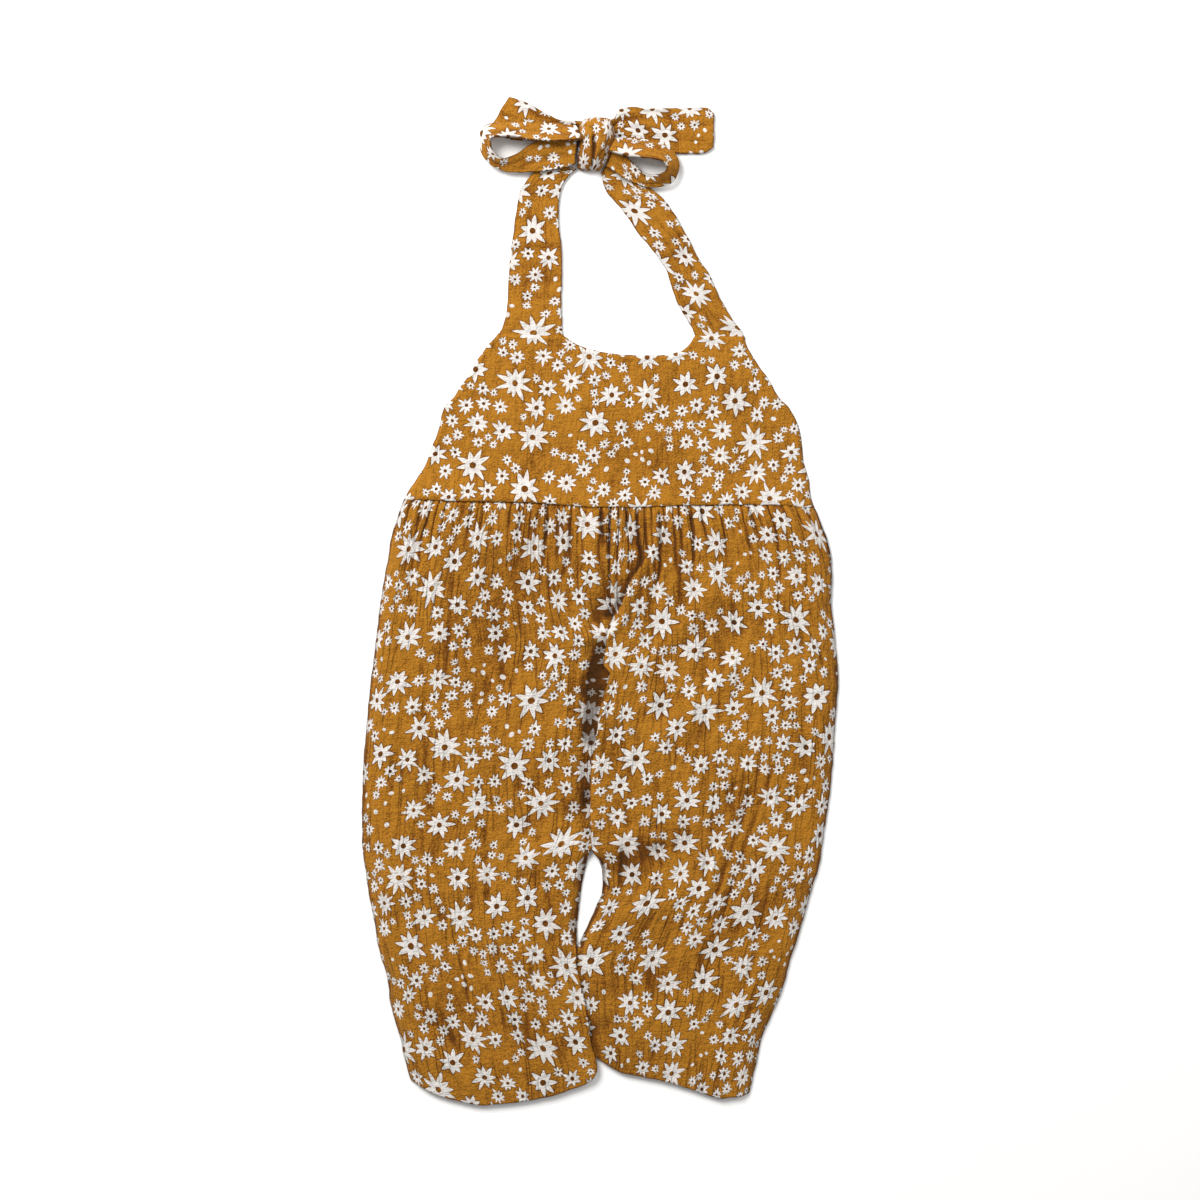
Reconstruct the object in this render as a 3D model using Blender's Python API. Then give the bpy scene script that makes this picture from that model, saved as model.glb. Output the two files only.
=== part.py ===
"""Baby halter romper laid flat, with its two neck ties tied in a bow.

Every sewn piece is one closed solid. X runs across the garment, Y from hem to bow, Z up from the
surface it lies on. Tables and sizes are in millimetres.
"""

import math

import bmesh
import bpy
import numpy as np

MM = 0.001

# Cloth
LEG_CLOTH = 1.2        # front of a leg: double gauze
BODICE_CLOTH = 1.6     # bodice: the cloth and its facing, pressed together
BACK_CLOTH = 1.2       # back panels and the casing
TIE_CLOTH = 2.6        # neck tie: a tube of the same cloth, pressed flat
SEAM = 0.55            # gap between two pieces at a seam
LAYER = 0.3            # gap between two layers that lie on each other

# How the front lies over the back
SIDE_ROLL = 16.0       # width over which a side edge rounds up
BACK_INSET = 3.4       # the back panels end this far inside the front's side edges
HEM_INSET = 1.0        # and this far above its hems
CASING_HEIGHT = 25.0   # elastic casing across the back
THINNEST = -0.15       # least and most that a fold adds to the outside of the cloth
THICKEST = 1.8
EDGE_ROUND = 0.9       # width of the rounded edge of a tie

# Gathers under the waist seam
GATHERS = 26           # in each leg's front
VALLEY = 0.12          # depth of a valley as a share of the ridge beside it

# Outline of the bodice and legs: how far each side reaches at each height.
SIDE_EDGES = (
    # y, left, right
    (166.6, -62.8, 89.4),
    (157.2, -70.9, 92.8),
    (149.7, -76.6, 97.2),
    (142.2, -80.3, 102.2),
    (134.7, -85.6, 107.5),
    (127.2, -90.3, 111.2),
    (119.7, -97.2, 118.4),
    (112.2, -99.1, 122.8),
    (104.7, -100.9, 125.3),
    (97.2, -104.1, 126.6),
    (89.7, -106.6, 127.2),
    (82.2, -109.7, 128.4),
    (74.7, -114.7, 130.9),
    (67.2, -119.7, 131.6),
    (59.7, -123.4, 133.4),
    (52.2, -125.9, 136.6),
    (37.2, -130.3, 142.2),
    (24.7, -132.2, 144.7),
    (12.2, -134.7, 145.3),
    (-0.3, -136.6, 144.7),
    (-25.3, -139.7, 147.2),
    (-50.3, -142.8, 149.1),
    (-75.3, -145.3, 147.2),
    (-100.3, -147.2, 145.9),
    (-125.3, -148.4, 143.4),
    (-150.3, -148.4, 139.4),
    (-162.8, -147.2, 138.1),
    (-175.3, -145.3, 134.4),
    (-187.8, -143.4, 130.6),
    (-200.3, -140.9, 126.9),
    (-212.8, -139.1, 123.4),
    (-225.3, -135.9, 119.1),
    (-237.8, -132.2, 115.9),
    (-250.3, -130.9, 111.6),
    (-262.8, -127.8, 105.9),
    (-275.3, -124.1, 100.9),
    (-287.8, -121.6, 98.4),
    (-300.3, -117.8, 95.3),
    (-314.7, -112.2, 92.2),
)

# Waist seam, as it runs across the front.
WAIST_SEAM = (
    # x, y
    (-127.8, 62.8),
    (-121.6, 62.2),
    (-80.9, 60.9),
    (-41.6, 60.0),
    (0.3, 57.2),
    (20.3, 57.2),
    (52.2, 58.4),
    (87.8, 58.8),
    (114.7, 58.4),
    (137.8, 55.9),
)

# Top edge of the bodice: the base of each strap and the neckline scoop between them.
TOP_EDGE = (
    # x, y
    (-65.3, 166.6),
    (-43.4, 165.9),
    (-24.7, 165.6),
    (-22.2, 164.7),
    (-18.4, 162.2),
    (-13.4, 159.4),
    (-5.9, 156.6),
    (4.1, 154.4),
    (15.9, 152.8),
    (28.4, 152.5),
    (40.9, 153.1),
    (49.1, 154.5),
    (54.1, 157.2),
    (57.2, 160.9),
    (59.1, 164.1),
    (60.9, 165.6),
    (75.3, 165.3),
    (91.6, 164.7),
)

# Hems: height of the edge at each share of the way from the side to the inner leg.
LEFT_HEM = (
    # along, y
    (0, -300.2),
    (0.04, -303.9),
    (0.09, -308.0),
    (0.2, -312.4),
    (0.35, -315.7),
    (0.5, -314.6),
    (0.63, -312.7),
    (0.745, -310.4),
    (0.855, -306.1),
    (0.95, -302.1),
    (0.985, -298.6),
    (1, -294.6),
)

# Right hem.
RIGHT_HEM = (
    # along, y
    (0, -308.3),
    (0.04, -310.2),
    (0.1, -310.8),
    (0.165, -311.6),
    (0.24, -310.2),
    (0.32, -307.4),
    (0.455, -303.3),
    (0.59, -299.9),
    (0.68, -298.0),
    (0.79, -295.8),
    (0.9, -290.5),
    (0.955, -286.8),
    (1, -283.9),
)

# Inner edge of each leg's front. hold is the share of the full height that the edge keeps, edge_z
# the height of its underside where it keeps none. tongue is the width that lies flat beside the
# edge, roll the width over which it rounds up, and turned what the turned cloth adds at the edge.
# Inner edge of the left leg's front.
LEFT_INNER = (
    # y, x, hold, edge_z, tongue, roll, turned
    (63.4, 2.2, 1, 1.5, 0, 10, 0.0),
    (24.7, 2.2, 0.9, 1.5, 0, 12, 0.0),
    (12.2, 2.2, 0.6, 1.5, 1, 12, 0.0),
    (-0.3, 2.2, 0.28, 1.5, 3, 12, 0.0),
    (-10.3, 4.1, 0.05, 1.5, 6, 11, 0.0),
    (-17.8, 5.9, 0, 1.5, 7.5, 10, 0.0),
    (-25.3, 7.8, 0, 1.5, 8, 9, 0.0),
    (-44.1, 5.9, 0, 1.5, 9.5, 9, 0.0),
    (-62.8, 4.1, 0, 1.5, 10.5, 9, 0.0),
    (-100.3, 0.9, 0, 1.5, 10.5, 9, 0.0),
    (-125.3, 0.3, 0, 1.5, 9, 8, 0.0),
    (-137.8, 0.3, 0, 1.5, 8.5, 8, 0.0),
    (-149.1, -2.2, 0, 1.5, 5, 6, 0.0),
    (-156.6, -5.6, 0, 1.5, 1.5, 5, 0.0),
    (-166.6, -8.8, 0, 0, 0, 5, 0.0),
    (-176.6, -10.7, 0, 0, 0, 5, 0.0),
    (-190.9, -12.6, 0, 0, 0, 5, 0.0),
    (-204.7, -14.1, 0, 0, 0, 5, 0.0),
    (-214.7, -14.2, 0, 1.5, 0, 5, 0.0),
    (-219.1, -13.9, 0, 3.3, 0, 5, 0.0),
    (-227.8, -14.4, 0, 3.4, 0, 6, 0.0),
    (-238.4, -11.9, 0, 3.4, 0, 6, 0.0),
    (-250.3, -9.4, 0, 3.4, 0, 6, 0.0),
    (-262.2, -6.9, 0, 3.4, 0, 6, 0.0),
    (-275.3, -5.3, 0, 3.4, 0, 6, 0.0),
    (-286.6, -2.4, 0, 3.4, 0, 6, 0.0),
    (-293.4, -1.4, 0, 3.4, 0, 6, 0.0),
    (-314.7, -3.4, 0, 3.4, 0, 6, 0.0),
)
# Inner edge of the right leg's front.
RIGHT_INNER = (
    # y, x, hold, edge_z, tongue, roll, turned
    (63.4, 2.8, 1, 3.15, 0, 8, 0.0),
    (-7.8, 2.8, 1, 3.15, 0, 8, 0.0),
    (-16.6, 2.8, 0.6, 3.15, 0, 8, 0.7),
    (-25.3, 2.8, 0, 3.15, 0, 8, 0.7),
    (-37.8, 0.9, 0, 3.15, 0, 8, 1.4),
    (-50.3, -1.6, 0, 3.15, 0, 8, 1.4),
    (-62.8, -3.4, 0, 3.15, 0, 8, 1.4),
    (-75.3, -4.7, 0, 3.15, 0, 8, 1.4),
    (-100.3, -5.3, 0, 3.15, 0, 8, 1.4),
    (-125.3, -5.9, 0, 3.15, 0, 8, 1.4),
    (-147.2, -5.6, 0, 3.15, 0, 8, 1.4),
    (-156.6, -4.4, 0, 3.15, 0, 8, 0.8),
    (-162.8, -0.3, 0, 1.2, 0, 6, 0.0),
    (-167.8, 1.4, 0, 0, 0, 5, 0.0),
    (-176.6, 1.9, 0, 0, 0, 5, 0.0),
    (-184.1, 1.4, 0, 0, 0, 5, 0.0),
    (-191.6, -2.5, 0, 0, 0, 5, 0.0),
    (-198.4, -5.0, 0, 0, 0, 5, 0.0),
    (-205.3, -8.4, 0, 0, 0, 5, 0.0),
    (-213.4, -12.2, 0, 0, 0.5, 5, 0.0),
    (-219.1, -14.1, 0, 1.5, 2, 6, 0.0),
    (-228.4, -16.6, 0, 1.5, 3.2, 8, 0.0),
    (-238.4, -14.7, 0, 1.5, 3.5, 8, 0.0),
    (-250.3, -12.2, 0, 1.5, 3.5, 8, 0.0),
    (-262.8, -9.7, 0, 1.5, 3.5, 8, 0.0),
    (-278.4, -7.2, 0, 1.5, 3.5, 8, 0.0),
    (-284.7, -5.9, 0, 1.5, 3.5, 8, 0.0),
    (-314.7, -5.9, 0, 1.5, 3.5, 8, 0.0),
)

# Inner edges of the back legs.
BACK_INNER = (
    # y, left, right
    (36.6, 0.3, 0.9),
    (-137.8, -0.3, 0.3),
    (-149.1, -3.4, -0.6),
    (-156.6, -8.1, -0.6),
    (-161.6, -10.3, 2.8),
    (-167.8, -12.2, 4.6),
    (-176.6, -13.8, 5.1),
    (-184.1, -15.0, 4.4),
    (-191.6, -15.9, 0.6),
    (-198.4, -16.6, -1.9),
    (-205.3, -17.2, -5.3),
    (-213.4, -17.2, -9.1),
    (-219.1, -16.9, -12.2),
    (-228.4, -16.6, -15.9),
    (-238.4, -14.7, -14.1),
    (-250.3, -12.2, -11.6),
    (-262.8, -9.7, -9.1),
    (-278.4, -7.2, -6.6),
    (-314.7, -5.9, -5.3),
)

# Height of the front's underside: by distance below the waist seam, and by distance above the hem.
SEAM_RISE = (
    # distance, height
    (0.0, 2.8),
    (4.0, 3.1),
    (12.0, 3.7),
    (22.0, 3.9),
)
HEM_RISE = (
    # distance, height
    (0.0, 2.5),
    (10.0, 3.3),
    (25.0, 3.9),
)
# The bodice lies on the surface and rises to the waist seam: by distance above the seam.
BODICE_RISE = (
    # distance, height
    (0.0, 2.8),
    (5.0, 2.7),
    (11.0, 1.9),
    (20.0, 0.6),
    (30.0, 0.0),
)
# Gathers at each share of the way from the side to the centre: height, and length below the seam.
GATHER_SIZE = (
    # along, height, length
    (0.0, 0.9, 34.0),
    (0.14, 1.5, 62.0),
    (0.3, 1.2, 44.0),
    (0.5, 0.9, 28.0),
    (0.68, 1.3, 46.0),
    (0.85, 1.8, 64.0),
    (1.0, 1.7, 54.0),
)

# Largest folds of the legs: a line, its half width and its height, below zero for a trough.
FOLDS = (
    # panel, x0, y0, x1, y1, half_width, height
    ('left', -30.9, -28.4, 2.8, -17.8, 5.5, 1.2),
    ('left', -3.4, 24.7, -5.9, -15.9, 3.0, 0.7),
    ('left', -113.4, -252.2, -85.9, -279.1, 3.0, -0.6),
    ('left', -107.2, -247.8, -80.9, -272.8, 3.5, 0.8),
    ('left', -99.7, -287.8, -79.7, -307.8, 3.5, 0.7),
    ('left', -129.7, 34.1, -137.8, -56.6, 3.0, 0.7),
    ('left', -27.2, -137.8, -24.7, -225.3, 6.0, 0.5),
    ('left', -80.9, -175.3, -62.2, -225.3, 5.0, 0.4),
    ('right', 33.4, 33.4, 19.1, 4.7, 3.6, 1.5),
    ('right', 19.1, 4.7, 3.4, -25.3, 3.6, 1.5),
    ('right', 2.2, -31.6, -0.9, -87.8, 4.5, 0.7),
    ('right', -1.6, -87.8, -2.2, -149.1, 4.5, 0.8),
    ('right', 2.8, -141.6, 50.3, -149.1, 4.0, 0.9),
    ('right', 14.1, -156.6, 13.4, -183.4, 2.6, -0.6),
    ('right', 20.3, -154.1, 19.1, -187.8, 3.0, 0.9),
    ('right', 98.4, -122.2, 72.8, -187.8, 2.6, -0.5),
    ('right', 87.8, -119.1, 62.8, -190.9, 2.8, 0.7),
    ('right', 77.8, -125.3, 56.6, -187.8, 2.6, -0.5),
    ('right', 62.8, -190.9, 42.8, -240.9, 3.0, 0.6),
    ('right', 34.7, -172.2, 14.1, -209.7, 3.2, 0.6),
    ('right', 12.8, -250.3, 20.3, -287.8, 4.0, 0.6),
    ('right', 31.6, -281.6, 42.8, -297.2, 4.0, -0.5),
)

# Bodice creases.
BODICE_FOLDS = (
    # panel, x0, y0, x1, y1, half_width, height
    ('bodice', -58.0, 150.0, -52.0, 78.0, 6.0, 0.4),
    ('bodice', 52.0, 146.0, 60.0, 82.0, 5.0, 0.5),
    ('bodice', 68.0, 140.0, 82.0, 84.0, 5.0, 0.4),
    ('bodice', -10.0, 130.0, -4.0, 70.0, 7.0, 0.35),
    ('bodice', 22.0, 126.0, 26.0, 74.0, 6.0, 0.35),
)

# Ties: each row has a point on one edge and the point across from it on the other.
# Left neck tie.
STRAP_LEFT = (
    # ax, ay, az, bx, by, bz
    (-62.2, 166.9, 1.1, -22.8, 166.1, 1.1),
    (-60.9, 169.1, 1.2, -23.3, 169.1, 1.2),
    (-59.4, 173.4, 1.3, -23.4, 173.4, 1.3),
    (-57.2, 187.2, 1.3, -24.1, 187.2, 1.3),
    (-56.6, 202.2, 1.3, -23.4, 202.2, 1.3),
    (-55.3, 217.2, 1.3, -23.4, 217.2, 1.3),
    (-53.4, 232.2, 1.3, -25.3, 231.6, 1.3),
    (-51.6, 244.7, 1.3, -25.6, 243.4, 1.3),
    (-49.7, 254.7, 1.3, -24.7, 253.4, 1.3),
    (-45.3, 262.2, 1.3, -22.2, 260.3, 1.3),
    (-38.4, 269.1, 1.3, -18.4, 265.3, 1.3),
    (-27.2, 274.7, 1.3, -14.2, 268.9, 1.3),
)
# Right neck tie.
STRAP_RIGHT = (
    # ax, ay, az, bx, by, bz
    (59.2, 166.1, 1.1, 89.7, 165.4, 1.1),
    (57.8, 169.7, 1.2, 87.2, 169.7, 1.2),
    (55.3, 173.4, 1.3, 84.4, 173.4, 1.3),
    (47.8, 187.2, 1.3, 75.3, 188.4, 1.3),
    (42.8, 202.2, 1.3, 67.8, 204.1, 1.3),
    (38.8, 210.9, 1.3, 61.6, 213.4, 1.3),
    (31.9, 219.7, 1.3, 56.2, 224.7, 1.3),
    (25.0, 227.8, 1.3, 51.2, 233.4, 1.3),
    (16.9, 239.7, 1.3, 44.7, 244.1, 1.3),
    (10.6, 247.8, 1.3, 38.1, 252.2, 1.3),
    (4.4, 254.7, 1.3, 30.9, 257.8, 1.3),
    (1.9, 261.6, 1.3, 21.6, 265.9, 1.3),
    (1.1, 267.6, 1.3, 7.7, 274.1, 1.3),
)
# Free end to the upper left.
TAIL_LEFT = (
    # ax, ay, az, bx, by, bz
    (-56.6, 313.9, 1.3, -69.4, 292.8, 1.3),
    (-51.6, 312.8, 1.3, -62.2, 289.1, 1.3),
    (-43.4, 309.4, 1.3, -50.3, 286.6, 1.3),
    (-32.2, 303.1, 1.3, -35.3, 285.9, 1.3),
    (-24.1, 299.7, 1.3, -24.7, 285.9, 1.3),
    (-12.5, 298.9, 1.3, -14.3, 288.4, 1.3),
)
# Free end to the right.
TAIL_RIGHT = (
    # ax, ay, az, bx, by, bz
    (8.8, 300.6, 1.3, 10.3, 286.6, 1.3),
    (12.2, 306.2, 1.3, 15.3, 282.2, 1.3),
    (21.6, 307.6, 1.3, 23.4, 279.7, 1.3),
    (30.9, 306.8, 1.3, 31.6, 278.9, 1.3),
    (52.8, 307.0, 1.3, 52.8, 278.4, 1.3),
    (65.9, 307.5, 1.3, 65.3, 278.8, 1.3),
    (71.7, 303.4, 1.3, 71.2, 282.8, 1.3),
)
# Left loop: outer edge, then the edge round its hole.
LOOP_LEFT = (
    # ax, ay, az, bx, by, bz
    (-14.1, 295.4, 5.9, -10.6, 285.9, 12.0),
    (-27.2, 296.9, 4.3, -26.6, 285.0, 12.6),
    (-43.4, 297.5, 3.8, -40.9, 285.3, 12.6),
    (-57.2, 297.8, 3.7, -54.1, 287.8, 12.0),
    (-68.4, 296.6, 3.7, -63.4, 288.1, 11.4),
    (-74.1, 291.9, 3.7, -67.8, 286.2, 10.9),
    (-74.7, 283.4, 3.7, -67.5, 281.6, 10.4),
    (-71.2, 275.3, 3.7, -64.1, 277.2, 9.7),
    (-65.0, 269.4, 3.7, -59.7, 274.7, 8.9),
    (-55.3, 266.6, 3.8, -52.8, 277.2, 7.6),
    (-43.4, 266.6, 4.0, -43.4, 281.9, 6.8),
    (-30.9, 267.8, 4.3, -30.9, 284.7, 6.6),
    (-15.0, 271.2, 5.4, -14.1, 283.4, 7.4),
)
# Right loop: outer edge, then the edge round its hole.
LOOP_RIGHT = (
    # ax, ay, az, bx, by, bz
    (10.0, 287.4, 5.9, 5.3, 279.1, 12.0),
    (20.3, 287.6, 4.3, 17.2, 275.6, 12.6),
    (30.3, 286.9, 3.8, 27.2, 274.7, 12.4),
    (39.7, 283.8, 3.7, 35.3, 273.8, 11.9),
    (46.9, 278.4, 3.7, 40.3, 271.9, 11.4),
    (49.7, 271.2, 3.7, 41.9, 269.1, 10.9),
    (48.0, 263.8, 3.7, 40.3, 266.2, 10.2),
    (42.2, 258.2, 3.7, 35.9, 264.7, 9.4),
    (32.5, 257.2, 3.7, 29.1, 265.0, 8.4),
    (22.8, 259.4, 3.8, 22.2, 267.8, 7.6),
    (14.7, 263.4, 4.2, 15.9, 271.9, 7.0),
    (4.1, 270.1, 5.4, 7.5, 276.6, 7.4),
)

# Knot: width and height of each ring, from the top down.
KNOT_RINGS = (
    # y, left, right, height
    (301.1, -7.8, 4.4, 4.5),
    (299.7, -10.3, 6.9, 8.5),
    (296.6, -12.5, 8.4, 11.5),
    (290.9, -13.6, 9.6, 14.0),
    (284.1, -13.9, 9.1, 15.0),
    (277.2, -14.1, 7.2, 14.4),
    (272.2, -14.2, 4.4, 12.0),
    (269.4, -13.8, 2.2, 9.0),
    (267.6, -10.9, -0.9, 5.0),
)

# Distances of the columns of a panel from its edges, and its rows
OUTER_COLUMNS = (0.0, 1.2, 3.0, 6.5)
OUTER_MIDDLE = 12.0
INNER_COLUMNS = (6.0, 3.0, 0.0)
INNER_MIDDLE = 10.0
GATHER_ROWS = (0.0, 2.5, 7.0, 15.0, 27.0, 42.0, 60.0)
LEG_ROWS = (
    -5.9, -15.9, -26.0, -40.0, -60.0, -85.0, -112.0, -135.0, -149.0, -156.6, -162.8,
    -168.0, -176.6, -191.0, -203.0, -213.0, -219.0, -228.0, -247.0, -266.0, -281.0,
)
HEM_ROWS = (6.0, 2.0, 0.0)
HEM_ROOM = 3.0         # least distance between the last plain row and the hem's rows
BACK_END = -295.0      # last row of the back panels, before it is laid along the hem
ROUNDS = 12            # tries in finding where a column and a row cross
BODICE_COLUMNS = (
    0.10, 0.18, 0.255, 0.285, 0.32, 0.37, 0.43, 0.50, 0.57, 0.64, 0.70, 0.745, 0.775, 0.80,
    0.86, 0.92,
)
BODICE_ROWS = (0.0, 0.02, 0.07, 0.16, 0.28, 0.42, 0.56, 0.69, 0.80, 0.88, 0.94, 0.98, 1.0)
TIE_STEP = 0.5         # sections for each row of a tie's table, as a share of the row's length


def clear():
    for thing in list(bpy.data.objects):
        bpy.data.objects.remove(thing, do_unlink=True)


def curve(rows, column, key=0):
    """Smooth curve without overshoot through one column of a table."""
    pairs = sorted((row[key], row[column]) for row in rows)
    keys = [float(pair[0]) for pair in pairs]
    values = [float(pair[1]) for pair in pairs]
    steps = [(values[i + 1] - values[i]) / (keys[i + 1] - keys[i]) for i in range(len(keys) - 1)]
    slopes = [steps[0]]
    for before, after in zip(steps, steps[1:]):
        slopes.append(2.0 * before * after / (before + after) if before * after > 0.0 else 0.0)
    slopes.append(steps[-1])

    def at(place):
        place = min(max(place, keys[0]), keys[-1])
        i = min(max(int(np.searchsorted(keys, place)) - 1, 0), len(keys) - 2)
        length = keys[i + 1] - keys[i]
        u = (place - keys[i]) / length
        rise = values[i + 1] - values[i]
        bend = slopes[i] * length
        end = slopes[i + 1] * length
        cubic = bend + end - 2.0 * rise
        square = 3.0 * rise - 2.0 * bend - end
        return values[i] + u * (bend + u * (square + u * cubic))

    return at


def ease(value):
    value = min(max(value, 0.0), 1.0)
    return value * value * (3.0 - 2.0 * value)


def mix(a, b, share):
    return a + (b - a) * share


def rolled(distance, level):
    """Height of a panel's underside at a distance from a rounded edge."""
    return level * (1.0 - (1.0 - min(max(distance, 0.0) / SIDE_ROLL, 1.0)) ** 4)


def fold_height(folds, panel, x, y):
    total = 0.0
    for name, x0, y0, x1, y1, half_width, height in folds:
        if name != panel:
            continue
        length = math.hypot(x1 - x0, y1 - y0)
        along = ((x - x0) * (x1 - x0) + (y - y0) * (y1 - y0)) / length ** 2
        across = ((x - x0) * (y1 - y0) - (y - y0) * (x1 - x0)) / length
        ends = ease(min(along, 1.0 - along) / 0.3 + 0.5)
        total += height * ends * math.exp(-((across / half_width) ** 2))
    return total


def make(name, points, faces, colour):
    """One closed solid from points in millimetres."""
    mesh = bpy.data.meshes.new(name)
    mesh.from_pydata([(x * MM, y * MM, z * MM) for x, y, z in points], [], faces)
    body = bmesh.new()
    body.from_mesh(mesh)
    bmesh.ops.triangulate(body, faces=body.faces)
    bmesh.ops.recalc_face_normals(body, faces=body.faces)
    body.to_mesh(mesh)
    body.free()
    for face in mesh.polygons:
        face.use_smooth = True
    thing = bpy.data.objects.new(name, mesh)
    bpy.context.scene.collection.objects.link(thing)
    material = bpy.data.materials.new(name + "_cloth")
    material.use_nodes = True
    shader = material.node_tree.nodes["Principled BSDF"]
    shader.inputs["Base Color"].default_value = colour
    shader.inputs["Roughness"].default_value = 0.9
    mesh.materials.append(material)
    return thing


def between(ids_a, a, ids_b, b):
    """Triangles between two rows of a grid, of which one may leave out columns of the other."""
    faces = []
    if len(ids_a) >= len(ids_b):
        fine, coarse, fine_row, coarse_row = ids_a, ids_b, a, b
    else:
        fine, coarse, fine_row, coarse_row = ids_b, ids_a, b, a
    place = {column: i for i, column in enumerate(fine)}
    for j in range(len(coarse) - 1):
        start = place[coarse[j]]
        stop = place[coarse[j + 1]]
        half = (start + stop) // 2
        fans = [(coarse_row[j], fine_row[i + 1], fine_row[i]) for i in range(start, half)]
        fans.append((coarse_row[j], coarse_row[j + 1], fine_row[half]))
        fans += [(coarse_row[j + 1], fine_row[i + 1], fine_row[i]) for i in range(half, stop)]
        faces += fans
    return faces


def wall(name, rows, colour):
    """A wall from rows of columns. A row has its column ids, outer points and inner points."""
    points = []
    layers = {"outer": [], "inner": []}
    for ids, outer, inner in rows:
        for layer, row in (("outer", outer), ("inner", inner)):
            first = len(points)
            points += row
            layers[layer].append(list(range(first, first + len(row))))
    faces = []
    for layer in layers.values():
        for r in range(len(rows) - 1):
            faces += between(rows[r][0], layer[r], rows[r + 1][0], layer[r + 1])
    outer, inner = layers["outer"], layers["inner"]
    for r in range(len(rows) - 1):
        for c in (0, -1):
            faces.append((outer[r][c], outer[r + 1][c], inner[r + 1][c], inner[r][c]))
    for r in (0, -1):
        for c in range(len(outer[r]) - 1):
            faces.append((outer[r][c], outer[r][c + 1], inner[r][c + 1], inner[r][c]))
    return make(name, points, faces, colour)


class Leg:
    """Front panel of one leg: where its edges run and how high it lies."""

    def __init__(self, panel):
        self.panel = panel
        left = panel == "left"
        inner = LEFT_INNER if left else RIGHT_INNER
        self.turn = 1.0 if left else -1.0
        self.outer = curve(SIDE_EDGES, 1 if left else 2)
        self.inner = curve(inner, 1)
        self.hold = curve(inner, 2)
        self.edge_z = curve(inner, 3)
        self.tongue = curve(inner, 4)
        self.roll = curve(inner, 5)
        self.turned = curve(inner, 6)
        self.hem = curve(LEFT_HEM if left else RIGHT_HEM, 1)
        self.seam = curve(WAIST_SEAM, 1)
        self.seam_rise = curve(SEAM_RISE, 1)
        self.hem_rise = curve(HEM_RISE, 1)

    def level(self, below, above):
        return min(self.seam_rise(below), self.hem_rise(above))

    def across(self, column, y):
        kind, value = column
        outer, inner = self.outer(y), self.inner(y)
        if kind == "outer edge":
            return outer + self.turn * value
        if kind == "inner edge":
            return inner - self.turn * value
        return mix(outer + self.turn * OUTER_MIDDLE, inner - self.turn * INNER_MIDDLE, value)

    def ends(self, x, y):
        """Top and bottom of the panel at this place."""
        outer, inner = self.outer(y), self.inner(y)
        along = min(max((x - outer) / (inner - outer), 0.0), 1.0)
        return self.seam(x) - SEAM / 2.0, self.hem(along)

    def place(self, column, row):
        """The point where a column and a row cross, found by going back and forth."""
        kind, value = row
        y = 0.0
        for _ in range(ROUNDS):
            x = self.across(column, y)
            top, bottom = self.ends(x, y)
            target = mix(top, bottom, value) if kind == "share" else bottom + value
            y = mix(y, target, 0.8)
        return x, y, top, bottom

    def underside(self, x, y, top, bottom):
        from_outer = abs(x - self.outer(y))
        from_inner = abs(x - self.inner(y))
        full = rolled(from_outer, self.level(top - y, y - bottom))
        edge = mix(self.edge_z(y), full, self.hold(y))
        return mix(edge, full, ease((from_inner - self.tongue(y)) / self.roll(y)))

    def folds(self, x, y):
        extra = fold_height(FOLDS, self.panel, x, y)
        from_inner = abs(x - self.inner(y))
        return extra + self.turned(y) * (1.0 - ease(from_inner / 7.0))


def gather_places():
    """Shares of the way across at which the valleys between the gathers lie, unevenly spaced."""
    widths = [1.0 + 0.3 * math.sin(2.4 * k) + 0.22 * math.sin(5.3 * k + 1.0) for k in range(GATHERS)]
    total = sum(widths)
    places = [0.0]
    for width in widths:
        places.append(places[-1] + width / total)
    return places


def gather_height(share, below, ridge, size, length):
    """Height that a gather adds, by distance below the seam."""
    lively = 1.0 + 0.3 * math.sin(37.0 * share)
    reach = length(share) * lively
    height = size(share) * (0.45 + 0.55 * ease(below / 7.0)) * math.exp(-((below / reach) ** 2))
    return height if ridge else -VALLEY * height


def leg_front(panel, colour):
    leg = Leg(panel)
    size = curve(GATHER_SIZE, 1)
    length = curve(GATHER_SIZE, 2)
    valleys = gather_places()
    columns = [("outer edge", distance) for distance in OUTER_COLUMNS]
    for k, share in enumerate(valleys):
        columns.append(("valley", share))
        if k < GATHERS:
            columns.append(("ridge", (share + valleys[k + 1]) / 2.0))
    columns += [("inner edge", distance) for distance in INNER_COLUMNS]
    everything = list(range(len(columns)))
    plain = [i for i in everything if columns[i][0] != "ridge"]
    inner_top = leg.seam(leg.inner(60.0))
    inner_hem = leg.hem(1.0)
    lowest = inner_hem + HEM_ROWS[0] + HEM_ROOM
    rows = [(everything, "share", below / (inner_top - inner_hem)) for below in GATHER_ROWS]
    rows += [(plain, "share", (inner_top - y) / (inner_top - inner_hem)) for y in LEG_ROWS if y > lowest]
    rows += [(plain, "above hem", above) for above in HEM_ROWS]
    built = []
    for ids, *row in rows:
        outer, inner = [], []
        for i in ids:
            kind, share = columns[i]
            x, y, top, bottom = leg.place(columns[i], row)
            low = leg.underside(x, y, top, bottom)
            extra = leg.folds(x, y)
            if kind in ("ridge", "valley"):
                gather = gather_height(share, top - y, kind == "ridge", size, length)
                extra += gather * (1.0 - ease(leg.turned(y)))
            extra = min(max(extra, THINNEST), THICKEST)
            inner.append((x, y, low))
            outer.append((x, y, low + LEG_CLOTH + extra))
        built.append((ids, outer, inner))
    return wall("leg_front_" + panel, built, colour)


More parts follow.
